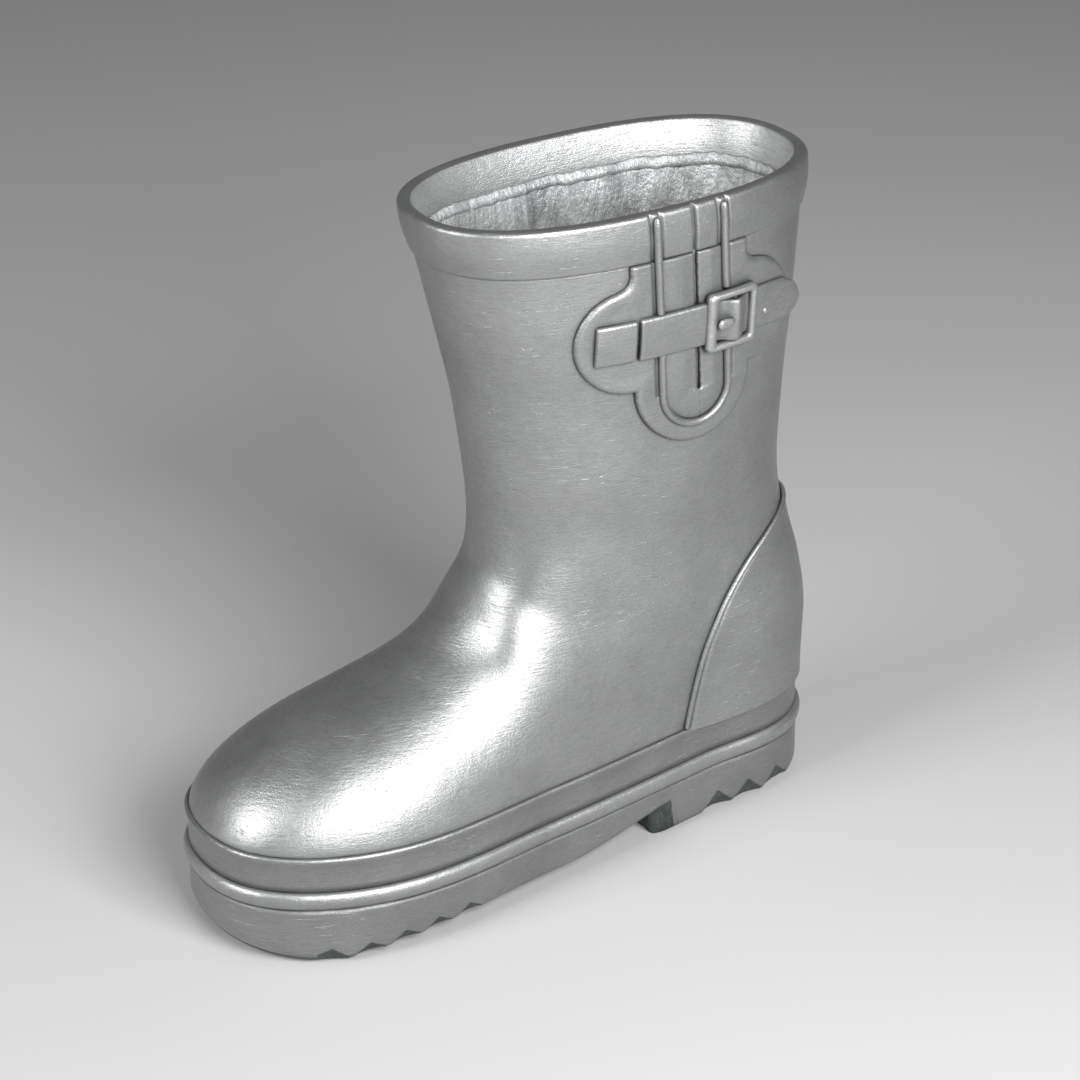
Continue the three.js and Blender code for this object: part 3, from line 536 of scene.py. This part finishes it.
# A lighter copy of the silver for the collar's inside face. The lighter tone is painted light, standing in
# for light falling into the mouth.
INSIDE_PAINTED_LIGHT = silver_leaf("silver_inside_painted_light", patina_and_shade=0.8, tone=0.7, metal=0.75, grain=1.6)
DARK_RIM = silver_leaf("rim_face", tone=0.5)
BRIGHT = silver_leaf("silver_hardware", patina_and_shade=0.9, tone=0.68)
BACKING = rough_backing()
RESIN = bare_resin()


# ---------------------------------------------------------------- upper and collar
def relaxed(grid, passes, hold):
    """The grid with neighbours averaged, except where hold is 1."""
    free = 0.5 * (1 - hold)[..., None]
    for _ in range(passes):
        around = np.roll(grid, 1, 1) + np.roll(grid, -1, 1)
        along = np.concatenate([grid[:1], grid[:-1]]) + np.concatenate([grid[1:], grid[-1:]])
        grid = grid + free * ((around + along) / 4 - grid)
    return grid


def smooth_upper(rows, columns, passes):
    """Grid over the upper up to the collar, with the seam between foot and leg blended out."""
    top_h = COLLAR_BOTTOM + 1 - SOLE_TOP
    grid = upper_points(top_h, rows, columns)
    hold = 1 - smooth_step(grid[..., 2], SOLE_TOP + 2, SOLE_TOP + 12)
    row = np.arange(len(grid))[:, None]
    hold = np.maximum(hold, 1 - smooth_step(row, 2, 10))
    hold = np.maximum(hold, smooth_step(row, len(grid) - 36, len(grid) - 24))
    return relaxed(grid, passes, hold)


def make_shell():
    """The upper, open at the top, with the inside of its wall."""
    outer = smooth_upper((60, 90, 60), 90, 60)
    rows, columns = outer.shape[:2]
    centre = outer.mean(axis=1, keepdims=True)
    level = (outer - centre) * np.array([1, 1, 0])
    inward = level / np.maximum(np.linalg.norm(level, axis=-1, keepdims=True), 1e-6)
    inner = (outer - inward * WALL)[rows - 62:]
    base = rows * columns
    faces = grid_faces(rows, columns)
    faces += [tuple(v + base for v in face[::-1]) for face in grid_faces(len(inner), columns)]
    rim, inner_rim = (rows - 1) * columns, base + (len(inner) - 1) * columns
    for j in range(columns):
        k = (j + 1) % columns
        faces.append((rim + j, rim + k, inner_rim + k, inner_rim + j))
    vertices = np.concatenate([outer.reshape(-1, 3), inner.reshape(-1, 3)])
    add_piece("upper_shell", vertices, faces, SILVER, ["boot_shell"])


def slit_angle(z):
    """Angle round the leg of the gusset's slit at height z."""
    front, back = leg_front(z - SOLE_TOP), leg_back(z - SOLE_TOP)
    c = (gusset_x(SLIT_U, z) - (front + back) / 2) / ((back - front) / 2)
    return -math.acos(math.copysign(abs(c) ** (LEG_SQUARENESS / 2), c))


def cord_creases(u):
    """Depth of the creases pressed in beside the two cords, u across the gusset."""
    beside = np.abs(np.abs(u) - CORD_HALF_SPACING) - CORD_RADIUS
    return 0.9 * np.exp(-((beside - 0.5) / 0.8) ** 2)


def make_collar():
    """The rim band, with the slit and the cords' creases pressed into it."""
    turn = np.concatenate([np.linspace(-0.5, 0.5, 240),
                           np.linspace(0.5, 2 * np.pi - 0.5, 190)[1:-1]])
    corner = np.radians(np.linspace(0, 90, 6))
    section = [(-WALL, 275.5), (-WALL, 285), (-WALL, RIM_TOP - 1.8), (-WALL + 0.7, RIM_TOP - 0.6),
               (-WALL + 1.7, RIM_TOP)]
    section += [(COLLAR_PROUD + RIM_RADIUS * (math.sin(a) - 1), RIM_TOP + RIM_RADIUS * (math.cos(a) - 1))
                for a in corner]
    section += [(COLLAR_PROUD + 0.75 * math.sin(math.pi * t), RIM_TOP - RIM_RADIUS - 16.5 * t)
                for t in np.linspace(0.1, 0.9, 9)]
    section += [(COLLAR_PROUD + COLLAR_EDGE * (math.cos(a) - 1),
                 COLLAR_BOTTOM + COLLAR_EDGE * (1 - math.sin(a))) for a in corner]
    section += [(-1.5, COLLAR_BOTTOM)]
    loops = []
    for offset, z in section:
        angle = slit_angle(min(z, RIM_TOP)) + turn
        ring = leg_ring(z, offset, angle)
        u = ring[:, 0] - gusset_x(0, z)
        near = (ring[:, 1] < 0) & (np.abs(u) < 25)
        press = 1.9 * np.exp(-((u - SLIT_U) / 0.75) ** 2) + cord_creases(u)
        sunk = np.where(near & (offset > -1), press * smooth_step(offset, -1, 0.6), 0)
        ring[:, 1] += sunk
        loops.append(ring)
    vertices, faces = swept_band(loops)
    # Section rows: the inside face gets the lighter painted-light silver, the rim top gets the rim face, and
    # the rest gets the outer silver.
    material_of_row = [2] * 3 + [1] * 3 + [0] * (len(section) - 6)
    which = [material_of_row[k % len(section)] for k in range(len(faces))]
    add_piece("collar_band", vertices, faces, [SILVER, DARK_RIM, INSIDE_PAINTED_LIGHT], ["top_collar"], which=which)


def make_lining():
    """Rough backing inside the leg, with a ragged top."""
    angle = np.linspace(0, 2 * np.pi, 420, endpoint=False)
    loops = [leg_ring(z, -WALL - 0.1, angle) for z in (LINING_BOTTOM, LINING_TOP)]
    for t in np.linspace(0, 1, 70):
        base = leg_ring(LINING_TOP + (LINING_BOTTOM - LINING_TOP) * t, -WALL - 1.6, angle)
        for k, point in enumerate(base):
            ragged = noise.noise(Vector((point[0] * 0.05, point[1] * 0.05, 3))) * 5
            base[k, 2] += (ragged - 3) * (1 - t) ** 3
            ridge = noise.ridged_multi_fractal(
                Vector((point[0] * 0.11, point[1] * 0.11, point[2] * 0.018)), 0.9, 2.1, 4, 1.0, 2.0)
            lump = noise.noise(Vector((point[0] * 0.06, point[1] * 0.06, point[2] * 0.06)))
            depth = (0.85 * ridge + 0.9 * lump) * min(1, t * 12 + 0.15)
            base[k, :2] *= 1 - (depth - 0.6) / 60
        loops.append(base)
    add_piece("lining", *swept_band(loops), BACKING, ["inner_laminate"], "inner_grey")


def make_lining_tape():
    """Low, wavy ledge along the top edge of the backing."""
    angle = np.linspace(0, 2 * np.pi, 420, endpoint=False)
    section = [(0.1, -4), (-1.5, -3.6), (-1.5, -1.5), (-0.7, 0.6), (0.1, 1.2)]
    tape = []
    for inset, rise in section:
        ring = leg_ring(LINING_TOP + rise, inset - WALL, angle)
        for k, point in enumerate(ring):
            place = Vector((point[0] * 0.045, point[1] * 0.045, 9))
            ring[k, 2] += 2.4 * noise.noise(place) + 0.8 * noise.noise(place * 5)
        tape.append(ring)
    add_piece("lining_tape", *swept_band(tape), BACKING, ["laminate_edge_tape"], "inner_grey")


# ---------------------------------------------------------------- sole
def make_foxing():
    """Upper band round the foot, its top edge rounded over."""
    section = [(-9, 32.5), (-1.6, 32.5), (-1.7, 36), (-1.75, 40), (-1.6, 43.5), (-1.15, 45.8),
               (-0.75, 47.2), (-0.75, 48.2), (-1.3, 49.0), (-2.1, 49.2), (-3.0, 48.8), (-3.6, 48.0), (-9, 48)]
    add_piece("foxing", *sole_band(section), DULL_SILVER, ["foxing_band"])


def make_welt():
    """Rounded bead between the foxing and the outsole."""
    middle = (BEAD_TOP + BEAD_BOTTOM) / 2
    half = (BEAD_TOP - BEAD_BOTTOM) / 2 - 0.25
    section = [(-9, middle - half)]
    for degrees in range(-90, 91, 15):
        a = math.radians(degrees)
        section.append((-2.2 + 3.0 * math.cos(a) ** 0.8, middle + half * math.sin(a)))
    section.append((-9, middle + half))
    add_piece("welt", *sole_band(section), SILVER, ["welt_bead"])


tread_rise = through([(-108, 0), (-96, 2), (-80, 4), (-60, 5.4), (ARCH_FRONT, 6)])
FOREFOOT_CHANNELS = -51 - 15.5 * np.arange(5)
HEEL_CHANNELS = 88 + 17 * np.arange(3)


def notches(x):
    """Height of the zigzag cut into the side wall's lower edge at each x."""
    def zigzag(centres, width, depth):
        away = np.abs(x[:, None] - centres).min(axis=1)
        return depth * np.clip(1.06 - 2 * away / width, 0, 1) ** 1.15
    return zigzag(FOREFOOT_CHANNELS, 13, 3.8) + zigzag(HEEL_CHANNELS, 16.5, 7.5)


def sole_floor(x, breast):
    """Height of the sole's underside at each x, with the heel's breast at its own x."""
    tread = underside_lift(x) + tread_rise(x)
    waist = ARCH_LOW + (ARCH_HIGH - ARCH_LOW) * smooth_step(x, 0, ARCH_END + 12)
    front = tread + (waist - tread) * smooth_step(x, ARCH_FRONT - 2, ARCH_FRONT + 2)
    return front * (1 - smooth_step(x, breast - 1.2, breast + 1.2))


def edge_radius(x):
    """Radius of the sole's rounded lower edge at each x."""
    return 3.4 + 5.0 * smooth_step(-x, 95, 140) + 1.5 * smooth_step(x, 120, 145)


def wall_height(x, part):
    """Height on the side wall at each x, from its top at part 0 to its lower edge at part 1."""
    top = BEAD_BOTTOM - 0.2 + sole_lift(x, BEAD_BOTTOM)
    low = sole_floor(x, ARCH_END) + notches(x) + edge_radius(x)
    return top + (low - top) * part


def edge_height(x, turn):
    """Height on the lower edge: its notches fade and the breast moves forward towards the middle."""
    inward = 1 - math.cos(turn)
    breast = ARCH_END - BREAST_CORNER * math.sqrt(1 - (1 - inward) ** 2)
    floor = sole_floor(x, breast) + notches(x) * (1 - 0.9 * smooth_step(inward, 0.12, 0.6))
    return floor + edge_radius(x) * (1 - math.sin(turn))


def sole_loop(share, offset, height):
    """Points round the sole at shares of its half length: the near side, then the far side back."""
    half_length = FOOT_HALF_LENGTH + offset
    x = half_length * share
    near = -foot_half_width(x, -1, half_length)
    far = foot_half_width(x, 1, half_length)
    sides = [np.stack([x, y, height(x)], -1) for y in (near, far)]
    return np.concatenate([sides[0], sides[1][::-1][1:-1]])


def make_sole():
    """One skin over the outsole, tread and heel: wall, rounded lower edge and underside."""
    bend = np.linspace(-np.pi / 2, np.pi / 2, 560)
    share = 0.5 * np.sin(bend) + bend / np.pi
    share[[0, -1]] = -1, 1
    rows = [sole_loop(share, -9, lambda x: wall_height(x, 0))]
    for part in np.linspace(0, 1, WALL_ROWS):
        rows.append(sole_loop(share, -WALL_INSET, lambda x: wall_height(x, part)))
    for turn in np.radians([12, 25, 38, 50, 60, 70, 80, 90]):
        offset = -WALL_INSET - 6.5 * (1 - math.cos(turn))
        rows.append(sole_loop(share, offset, lambda x: edge_height(x, turn)))
    rows.append(sole_loop(share, -WALL_INSET - 12, lambda x: edge_height(x, np.pi / 2)))
    count = len(rows[0])
    faces = grid_faces(len(rows), count) + underside_faces((len(rows) - 1) * count, count, len(share))
    x = (FOOT_HALF_LENGTH - WALL_INSET) * np.concatenate([share, share[::-1][1:-1]])
    cut = (notches(x) > 0.4) | ((x > ARCH_END - 14) & (x < ARCH_END + 1))
    dark_from = np.where(cut, WALL_ROWS + 1, WALL_ROWS + 3)
    which = [int(k // count >= dark_from[k % count]) for k in range(len(faces))]
    add_piece("sole_skin", np.concatenate(rows), faces, [DULL_SILVER, RESIN],
              ["outsole", "forefoot_tread", "heel_block"], which=which)


def underside_faces(first, count, half):
    """Faces across the last loop, from its near side to its far side, with both tips closed."""
    faces = [(first + j, first + j + 1, first + count - j - 1, first + count - j)
             for j in range(1, half - 2)]
    faces.append((first, first + 1, first + count - 1))
    faces.append((first + half - 2, first + half - 1, first + half))
    return faces


# ---------------------------------------------------------------- heel panel
counter_edge = through([(49, 69), (62, 71), (84, 76), (104, 84.7), (115, 92), (124.5, 101.5),
                        (131.5, 112.5), (137, 124), (140.5, 133)])


def on_upper(x, z, side, d):
    """Points d above the upper's surface on one side; x, z and d are arrays."""
    def surface(px, pz):
        return np.stack([px, side * upper_half_width(px, pz - SOLE_TOP, side), pz], -1)
    e = 0.15
    normal = side * np.cross(surface(x, z + e) - surface(x, z - e), surface(x + e, z) - surface(x - e, z))
    normal /= np.maximum(np.linalg.norm(normal, axis=-1, keepdims=True), 1e-9)
    return surface(x, z) + normal * np.asarray(d)[..., None]


def make_counter():
    """Heel panel: a skin from its curved edge round the back to the same edge on the other side."""
    rows, columns = 70, 60
    z = np.linspace(SOLE_TOP - 1, 140.3, rows)[:, None]
    t = np.linspace(0, 1, columns)[None]
    start = counter_edge(z) + 0.6
    end = leg_back(z - SOLE_TOP) - 0.3
    x = start + (end - start) * np.sin(t * np.pi / 2)
    z = z + 0 * x
    edge = np.minimum(x - start, (141.5 - z) * 1.4)
    rise = -0.6 + 2.1 * arch(1 - np.clip(edge / 2.5, 0, 1), 2.2)
    halves = [on_upper(x, z, side, rise) for side in (-1, 1)]
    under = [on_upper(x, z, side, np.full_like(x, -0.6)) for side in (-1, 1)]
    top = np.concatenate([halves[0], halves[1][:, ::-1]], axis=1)
    low = np.concatenate([under[0], under[1][:, ::-1]], axis=1)
    ring = np.concatenate([top, low[:, ::-1]], axis=1)
    add_piece("heel_panel", ring, grid_faces(rows, ring.shape[1]), SILVER, ["heel_counter"])


def make_counter_bead():
    """Thin bead along the heel panel's edge and round the back."""
    z = np.concatenate([np.linspace(49.5, 130, 60), np.linspace(130.7, 140.4, 24)])
    sides = [on_upper(counter_edge(z), z, side, np.full_like(z, 0.9)) for side in (-1, 1)]
    back = leg_back(141.2 - SOLE_TOP) + 1.0
    path = np.concatenate([sides[0], [[back, 0, 141.2]], sides[1][::-1]])
    length = np.concatenate([[0], np.cumsum(np.linalg.norm(np.diff(path, axis=0), axis=1))])
    even = np.linspace(0, length[-1], 220)
    path = np.stack([np.interp(even, length, path[:, k]) for k in range(3)], -1)
    kernel = np.ones(5) / 5
    inner = np.stack([np.convolve(path[:, k], kernel, "valid") for k in range(3)], -1)
    path = np.concatenate([path[:2], inner, path[-2:]])
    add_piece("heel_bead", *tube(path, 1.25), SILVER, ["counter_bead"])


# ---------------------------------------------------------------- gusset
def make_patch():
    """Clover-shaped patch with rounded edges, open in the middle for the gusset's panel."""
    def inside(x, z):
        below_collar = COLLAR_BOTTOM + 0.5 - z
        outside_pocket = -pocket_depth(x, z, CORD_HALF_SPACING + 0.2)
        return np.minimum(np.minimum(clover_depth(x, z), outside_pocket), below_collar)

    def height(x, z):
        rim = pillow(clover_depth(x, z), PATCH_THICK + 0.3, 2.6)
        u = x - gusset_x(0, z)
        dished = 0.35 * smooth_step(clover_depth(x, z), 2.5, 9)
        return rim - dished - cord_creases(u) * (z > CORD_BOTTOM_CENTRE)

    relief("patch", inside, height, (0, 124), (188, 281), SILVER, ["gusset_patch"])


def make_flap(side):
    """One half of the panel between the cords, with the slit's edge rolled down."""
    def inside(x, z):
        u = x - gusset_x(0, z) - SLIT_U
        slit = np.where(z > SLIT_BOTTOM, 0.45, -0.7)
        beside = side * u - slit
        pocket = pocket_depth(x, z, CORD_HALF_SPACING)
        return np.minimum(np.minimum(beside, pocket), COLLAR_BOTTOM + 0.5 - z)

    def height(x, z):
        u = x - gusset_x(0, z)
        to_slit = np.maximum(np.abs(u - SLIT_U) - 0.45, 0) + 3 * np.maximum(0, SLIT_BOTTOM + 1 - z)
        tuck = 0.06 * (side * (u - SLIT_U) < 0)
        edge = np.minimum(pocket_depth(x, z, CORD_HALF_SPACING) - CORD_RADIUS + 1.2, to_slit)
        swell = 0.5 * smooth_step(edge, 0, 8)
        return pillow(edge, PATCH_THICK - 0.5, 1.6) + swell - tuck

    name = "flap_rear" if side > 0 else "flap_front"
    node = "gusset_flap_rear" if side > 0 else "gusset_flap_front"
    relief(name, inside, height, (40, 84), (200, 281), SILVER, [node], base=-0.6, step=0.45)


def cord_points(us, zs):
    us, zs = np.asarray(us, float), np.asarray(zs, float)
    return on_leg(gusset_x(us, zs), zs, np.full_like(zs, CORD_D))


def make_cords():
    """The U-shaped loop below the strap, and the two stems above it."""
    turn = np.radians(np.linspace(180, 360, 40))
    front_z = np.linspace(STRAP_MIDDLE - STRAP_HALF_HEIGHT + 1, CORD_BOTTOM_CENTRE, 24)
    rear_z = np.linspace(CORD_BOTTOM_CENTRE, BUCKLE_Z - BUCKLE_HEIGHT / 2 - 0.4, 20)
    us = np.concatenate([np.full(24, -CORD_HALF_SPACING), CORD_HALF_SPACING * np.cos(turn)[1:-1],
                         np.full(20, CORD_HALF_SPACING)])
    zs = np.concatenate([front_z, CORD_BOTTOM_CENTRE + CORD_HALF_SPACING * np.sin(turn)[1:-1], rear_z])
    add_piece("cord_loop", *tube(cord_points(us, zs), CORD_RADIUS), SILVER, ["gusset_cord_loop"])
    for name, side, low in (("front", -1, 256.0), ("rear", 1, 260.6)):
        zs = np.linspace(low, RIM_TOP - 1.2, 50)
        us = np.full(50, side * CORD_HALF_SPACING)
        path = cord_points(us, zs)
        add_piece("cord_" + name, *tube(path, CORD_RADIUS, round_end=True), SILVER,
                  ["gusset_cord_" + name])


# ---------------------------------------------------------------- strap and buckle
def strap_station(x):
    """Half height, middle height and lift of the strap at x."""
    from_bar = (x - BUCKLE_X - BAR_A) / 6.5
    hump = np.where(np.abs(from_bar) < 1, np.cos(np.clip(from_bar, -1, 1) * np.pi / 2) ** 2, 0)
    tip = np.clip((x - STRAP_END + TIP_LENGTH) / TIP_LENGTH, 0, 1)
    half = STRAP_HALF_HEIGHT * np.sqrt(np.maximum(1 - tip ** 2.3, 0.0004))
    middle = STRAP_MIDDLE - 3 * np.maximum(0, (x - 90) / 29) ** 2
    lift = STRAP_TIP_LIFT * (np.maximum(0, x - 99) / (STRAP_END - 99)) ** 2
    return half, middle, STRAP_D + STRAP_RISE * hump + lift


def strip(name, xs, station, node, crown=0.35):
    """A flat strip round the leg with rounded edges and a slight crown."""
    turn = np.radians(np.linspace(0, 90, 6))
    edge = 1.3
    loops = []
    for x in xs:
        half, middle, d = (float(v) for v in station(np.float64(x)))
        r = min(edge, half * 0.9)
        upper = [(half - r + r * math.sin(a), STRAP_THICK - edge + edge * math.cos(a)) for a in turn]
        flat = [(f * (half - r), STRAP_THICK + crown * (1 - f * f)) for f in np.linspace(0, 0.85, 6)]
        right = flat + upper + [(half, -1.6)]
        profile = [(-b, h) for b, h in right[::-1]] + right[1:]
        b = np.array([p[0] for p in profile])
        h = np.array([p[1] for p in profile])
        low = np.where(h < 0, -d + 0.3, h)
        loops.append(on_leg(np.full_like(b, x), middle + b, d + low))
    ring = np.stack(loops)
    size = ring.shape[:2]
    add_piece(name, ring, grid_faces(*size) + end_caps(*size), SILVER, [node])


def rolled(x, start, end, station):
    """The station with its height let down over 0.8 mm at either end."""
    half, middle, d = station(x)
    inside = np.clip(np.minimum(x - start, end - x) / 0.8, 0, 1)
    drop = 1 - np.sqrt(np.clip(1 - (1 - inside) ** 2, 0, 1))
    return half - 0.4 * drop, middle, d - 0.9 * drop


def tab_station(x):
    return STRAP_HALF_HEIGHT - 0.3 + 0 * x, STRAP_MIDDLE + 0.15 + 0 * x, STRAP_D + 0 * x


def stations_between(*runs):
    """Places along a strap from (start, end, count) runs, each but the last without its end."""
    spaced = [np.linspace(*run) for run in runs]
    return [run[:-1] for run in spaced[:-1]] + spaced[-1:]


def make_straps():
    """The strap, closely spaced over the bar and at its round tip, and the tab before it."""
    tip_start = STRAP_END - TIP_LENGTH
    straight = stations_between((STRAP_START, STRAP_START + 1, 4), (STRAP_START + 1, 72, 40),
                                (72, 88, 40), (88, tip_start, 24))
    tip = tip_start + TIP_LENGTH * np.sin(np.linspace(0, np.pi / 2, 22))
    xs = np.concatenate([*straight[:-1], straight[-1][:-1], tip])
    strip("strap_band", xs, lambda x: rolled(x, STRAP_START, 200, strap_station), "strap")
    xs = np.concatenate(stations_between((TAB_START, TAB_START + 1, 4),
                                         (TAB_START + 1, TAB_END - 1, 24), (TAB_END - 1, TAB_END, 4)))
    strip("tab_band", xs, lambda x: rolled(x, TAB_START, TAB_END, tab_station), "strap_tab")


def buckle_frame_axes():
    """Seat, and the along, up and outward directions of the buckle."""
    x, z = np.array([BUCKLE_X]), np.array([BUCKLE_Z])
    seat = on_leg(x, z, np.zeros(1))[0]
    normal = on_leg(x, z, np.ones(1))[0] - seat
    up = np.array([0, 0, 1.0]) - normal * normal[2]
    up /= np.linalg.norm(up)
    return seat, np.cross(up, normal), up, normal


SEAT, ALONG, UP, OUT = buckle_frame_axes()


def on_buckle(a, b, d):
    a, b, d = (np.asarray(v, float)[..., None] for v in (a, b, d))
    return SEAT + a * ALONG + b * UP + d * OUT


def rounded_rectangle(a0, b0, a1, b1, radius, corner=7, side=10):
    """Loop of (a, b) points, the same number whatever the size."""
    centres = [(a1 - radius, b1 - radius, 0), (a0 + radius, b1 - radius, 90),
               (a0 + radius, b0 + radius, 180), (a1 - radius, b0 + radius, 270)]
    def on_corner(centre, turned):
        a, b, start = centre
        angle = math.radians(start + turned)
        return np.array([a + radius * math.cos(angle), b + radius * math.sin(angle)])

    points = []
    for k, centre in enumerate(centres):
        arc = [on_corner(centre, turned) for turned in np.linspace(0, 90, corner)]
        after = on_corner(centres[(k + 1) % 4], 0)
        points += arc
        points += [arc[-1] + (after - arc[-1]) * t for t in np.linspace(0, 1, side)[1:-1]]
    return np.array(points)


def make_buckle_frame():
    """Cast frame with rounded bars: the left bar is broader than the rails."""
    half_w, half_h = BUCKLE_WIDTH / 2, BUCKLE_HEIGHT / 2
    outer = rounded_rectangle(-half_w, -half_h, half_w, half_h, 2.6)
    inner = rounded_rectangle(-half_w + BUCKLE_BAR_WIDTH, -half_h + BUCKLE_RAIL_WIDTH,
                              half_w - BUCKLE_BAR_WIDTH + 1, half_h - BUCKLE_RAIL_WIDTH, 1.0)
    across = [(0, -1.2), (0, 1.1), (0.05, 1.6), (0.13, 2.0), (0.27, 2.35), (0.45, 2.5), (0.62, 2.45),
              (0.78, 2.2), (0.9, 1.75), (0.97, 1.3), (1, 0.8), (1, -1.2)]
    loops = []
    for share, height in across:
        plan = outer + (inner - outer) * share
        bow = 0.5 * (plan[:, 0] / half_w) ** 2
        loops.append(on_buckle(plan[:, 0], plan[:, 1], BUCKLE_D + height - bow))
    add_piece("buckle", *swept_band(loops), BRIGHT, ["buckle_frame"])


def make_buckle_bar():
    """Round bar that the prong turns on."""
    b = np.linspace(-1, 1, 30) * (BUCKLE_HEIGHT / 2 - BUCKLE_RAIL_WIDTH + 0.3)
    path = on_buckle(np.full_like(b, BAR_A), b, np.full_like(b, HINGE_D))
    add_piece("hinge_bar", *tube(path, 0.8), BRIGHT, ["buckle_bar"])


def make_prong():
    """Stubby pin hooked round the bar, its blunt end resting on the frame's left bar."""
    reach = np.linspace(0, 1, 26)[1:]
    hook = np.radians(np.linspace(-60, 90, 18))
    hook_top = HINGE_D + HOOK_RADIUS
    a = np.concatenate([BAR_A + HOOK_RADIUS * np.cos(hook), BAR_A - (PRONG_REACH - 1.0) * reach])
    d = np.concatenate([HINGE_D + HOOK_RADIUS * np.sin(hook),
                        hook_top + (PRONG_D - hook_top) * smooth_step(reach, 0.05, 0.4)])
    width = np.concatenate([np.full(len(hook), 1.2), 1.2 + 1.1 * smooth_step(reach, 0.1, 0.7)])
    thick = np.where(np.arange(len(a)) < len(hook), 0.55, 1.1)
    blunt_end = np.sqrt(1 - np.array([0.3, 0.6, 0.85, 0.985]) ** 2)
    width[-4:] *= blunt_end
    thick[-4:] *= blunt_end
    tangent = np.stack([np.gradient(a), np.gradient(d)], -1)
    tangent /= np.linalg.norm(tangent, axis=1, keepdims=True)
    angle = np.linspace(0, 2 * np.pi, 18, endpoint=False)
    loops = []
    for k in range(len(a)):
        side = width[k] * np.cos(angle)
        lift = thick[k] * np.sin(angle)
        loops.append(on_buckle(a[k] - tangent[k, 1] * lift, side, d[k] + tangent[k, 0] * lift))
    size = len(loops), len(angle)
    faces = grid_faces(*size) + end_caps(*size)
    add_piece("prong_pin", np.stack(loops), faces, BRIGHT, ["buckle_prong"], body="prong")


def make_rivet():
    """Small domed stud on the strap's tail."""
    x, z = np.array([RIVET_X]), np.array([RIVET_Z])
    seat = on_leg(x, z, np.array([STRAP_D + STRAP_THICK]))[0]
    out = on_leg(x, z, np.array([STRAP_D + STRAP_THICK + 1.0]))[0] - seat
    up = np.array([0, 0, 1.0]) - out * out[2]
    side = np.cross(up, out)
    angle = np.linspace(0, 2 * np.pi, 20, endpoint=False)
    loops = []
    for tilt in np.radians(np.linspace(0, 86, 9)):
        radius = 1.5 * math.cos(tilt)
        lift = 0.2 + 1.0 * math.sin(tilt)
        around = np.cos(angle)[:, None] * side + np.sin(angle)[:, None] * up
        loops.append(seat + radius * around + lift * out)
    size = len(loops), len(angle)
    faces = grid_faces(*size) + end_caps(*size)
    add_piece("rivet_head", np.stack(loops), faces, BRIGHT, ["strap_rivet"])


def dress_cad_nodes():
    """Materials for the CAD solids that stay as they are."""
    for node, material in (("sole_core", RESIN), ("footbed", BACKING)):
        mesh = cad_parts[node].data
        mesh.materials.clear()
        mesh.materials.append(material)


make_shell()
make_collar()
make_lining()
make_lining_tape()
make_foxing()
make_welt()
make_sole()
make_counter()
make_counter_bead()
make_patch()
make_flap(-1)
make_flap(1)
make_cords()
make_straps()
make_buckle_frame()
make_buckle_bar()
make_prong()
make_rivet()
dress_cad_nodes()


# ---------------------------------------------------------------- floor, light and camera
def make_stage():
    """Plain pale floor under a dim, even sky."""
    world = bpy.data.worlds.new("studio")
    world.use_nodes = True
    world.node_tree.nodes["Background"].inputs["Color"].default_value = (0.9, 0.91, 0.92, 1)
    world.node_tree.nodes["Background"].inputs["Strength"].default_value = 0.22
    bpy.context.scene.world = world
    bpy.context.scene.view_settings.view_transform = "Standard"
    mesh = bpy.data.meshes.new("floor")
    mesh.from_pydata([(-4, -4, 0), (4, -4, 0), (4, 4, 0), (-4, 4, 0)], [], [(0, 1, 2, 3)])
    floor = bpy.data.objects.new("floor", mesh)
    paper = bpy.data.materials.new("pale_floor")
    paper.use_nodes = True
    paper.node_tree.nodes["Principled BSDF"].inputs["Base Color"].default_value = (0.42, 0.42, 0.42, 1)
    paper.node_tree.nodes["Principled BSDF"].inputs["Roughness"].default_value = 0.8
    mesh.materials.append(paper)
    bpy.context.scene.collection.objects.link(floor)


def make_light(name, place, target, size, power):
    """A soft rectangular lamp at place, turned towards target."""
    data = bpy.data.lights.new(name, "AREA")
    data.shape = "RECTANGLE"
    data.size, data.size_y = size
    data.energy = power
    light = bpy.data.objects.new(name, data)
    light.location = place
    light.rotation_euler = (Vector(target) - Vector(place)).to_track_quat("-Z", "Y").to_euler()
    bpy.context.scene.collection.objects.link(light)


def make_camera():
    """Camera 1.29 m from the boot, 31 degrees round towards the toe and 28 above level."""
    azimuth, elevation, roll = (math.radians(a) for a in (-31.28, 27.745, -0.655))
    back = Vector((math.sin(azimuth) * math.cos(elevation),
                   -math.cos(azimuth) * math.cos(elevation), math.sin(elevation)))
    right = Vector((math.cos(azimuth), math.sin(azimuth), 0))
    up = back.cross(right)
    across = right * math.cos(roll) + up * math.sin(roll)
    upright = -right * math.sin(roll) + up * math.cos(roll)
    target = Vector((0.01789, 0, 0.14074))
    data = bpy.data.cameras.new("camera")
    data.sensor_width = 36
    data.lens = 101.8067
    camera = bpy.data.objects.new("camera", data)
    camera.matrix_world = Matrix((across, upright, back)).transposed().to_4x4()
    camera.location = target + back * 1.29316
    bpy.context.scene.collection.objects.link(camera)
    bpy.context.scene.camera = camera


make_stage()
make_camera()
make_light("key", (-0.02, -1.12, 0.78), (-0.04, 0, 0.1), (0.8, 0.7), 34)
make_light("toe_side", (-1.3, -0.1, 0.85), (-0.05, 0, 0.12), (0.6, 0.6), 18)
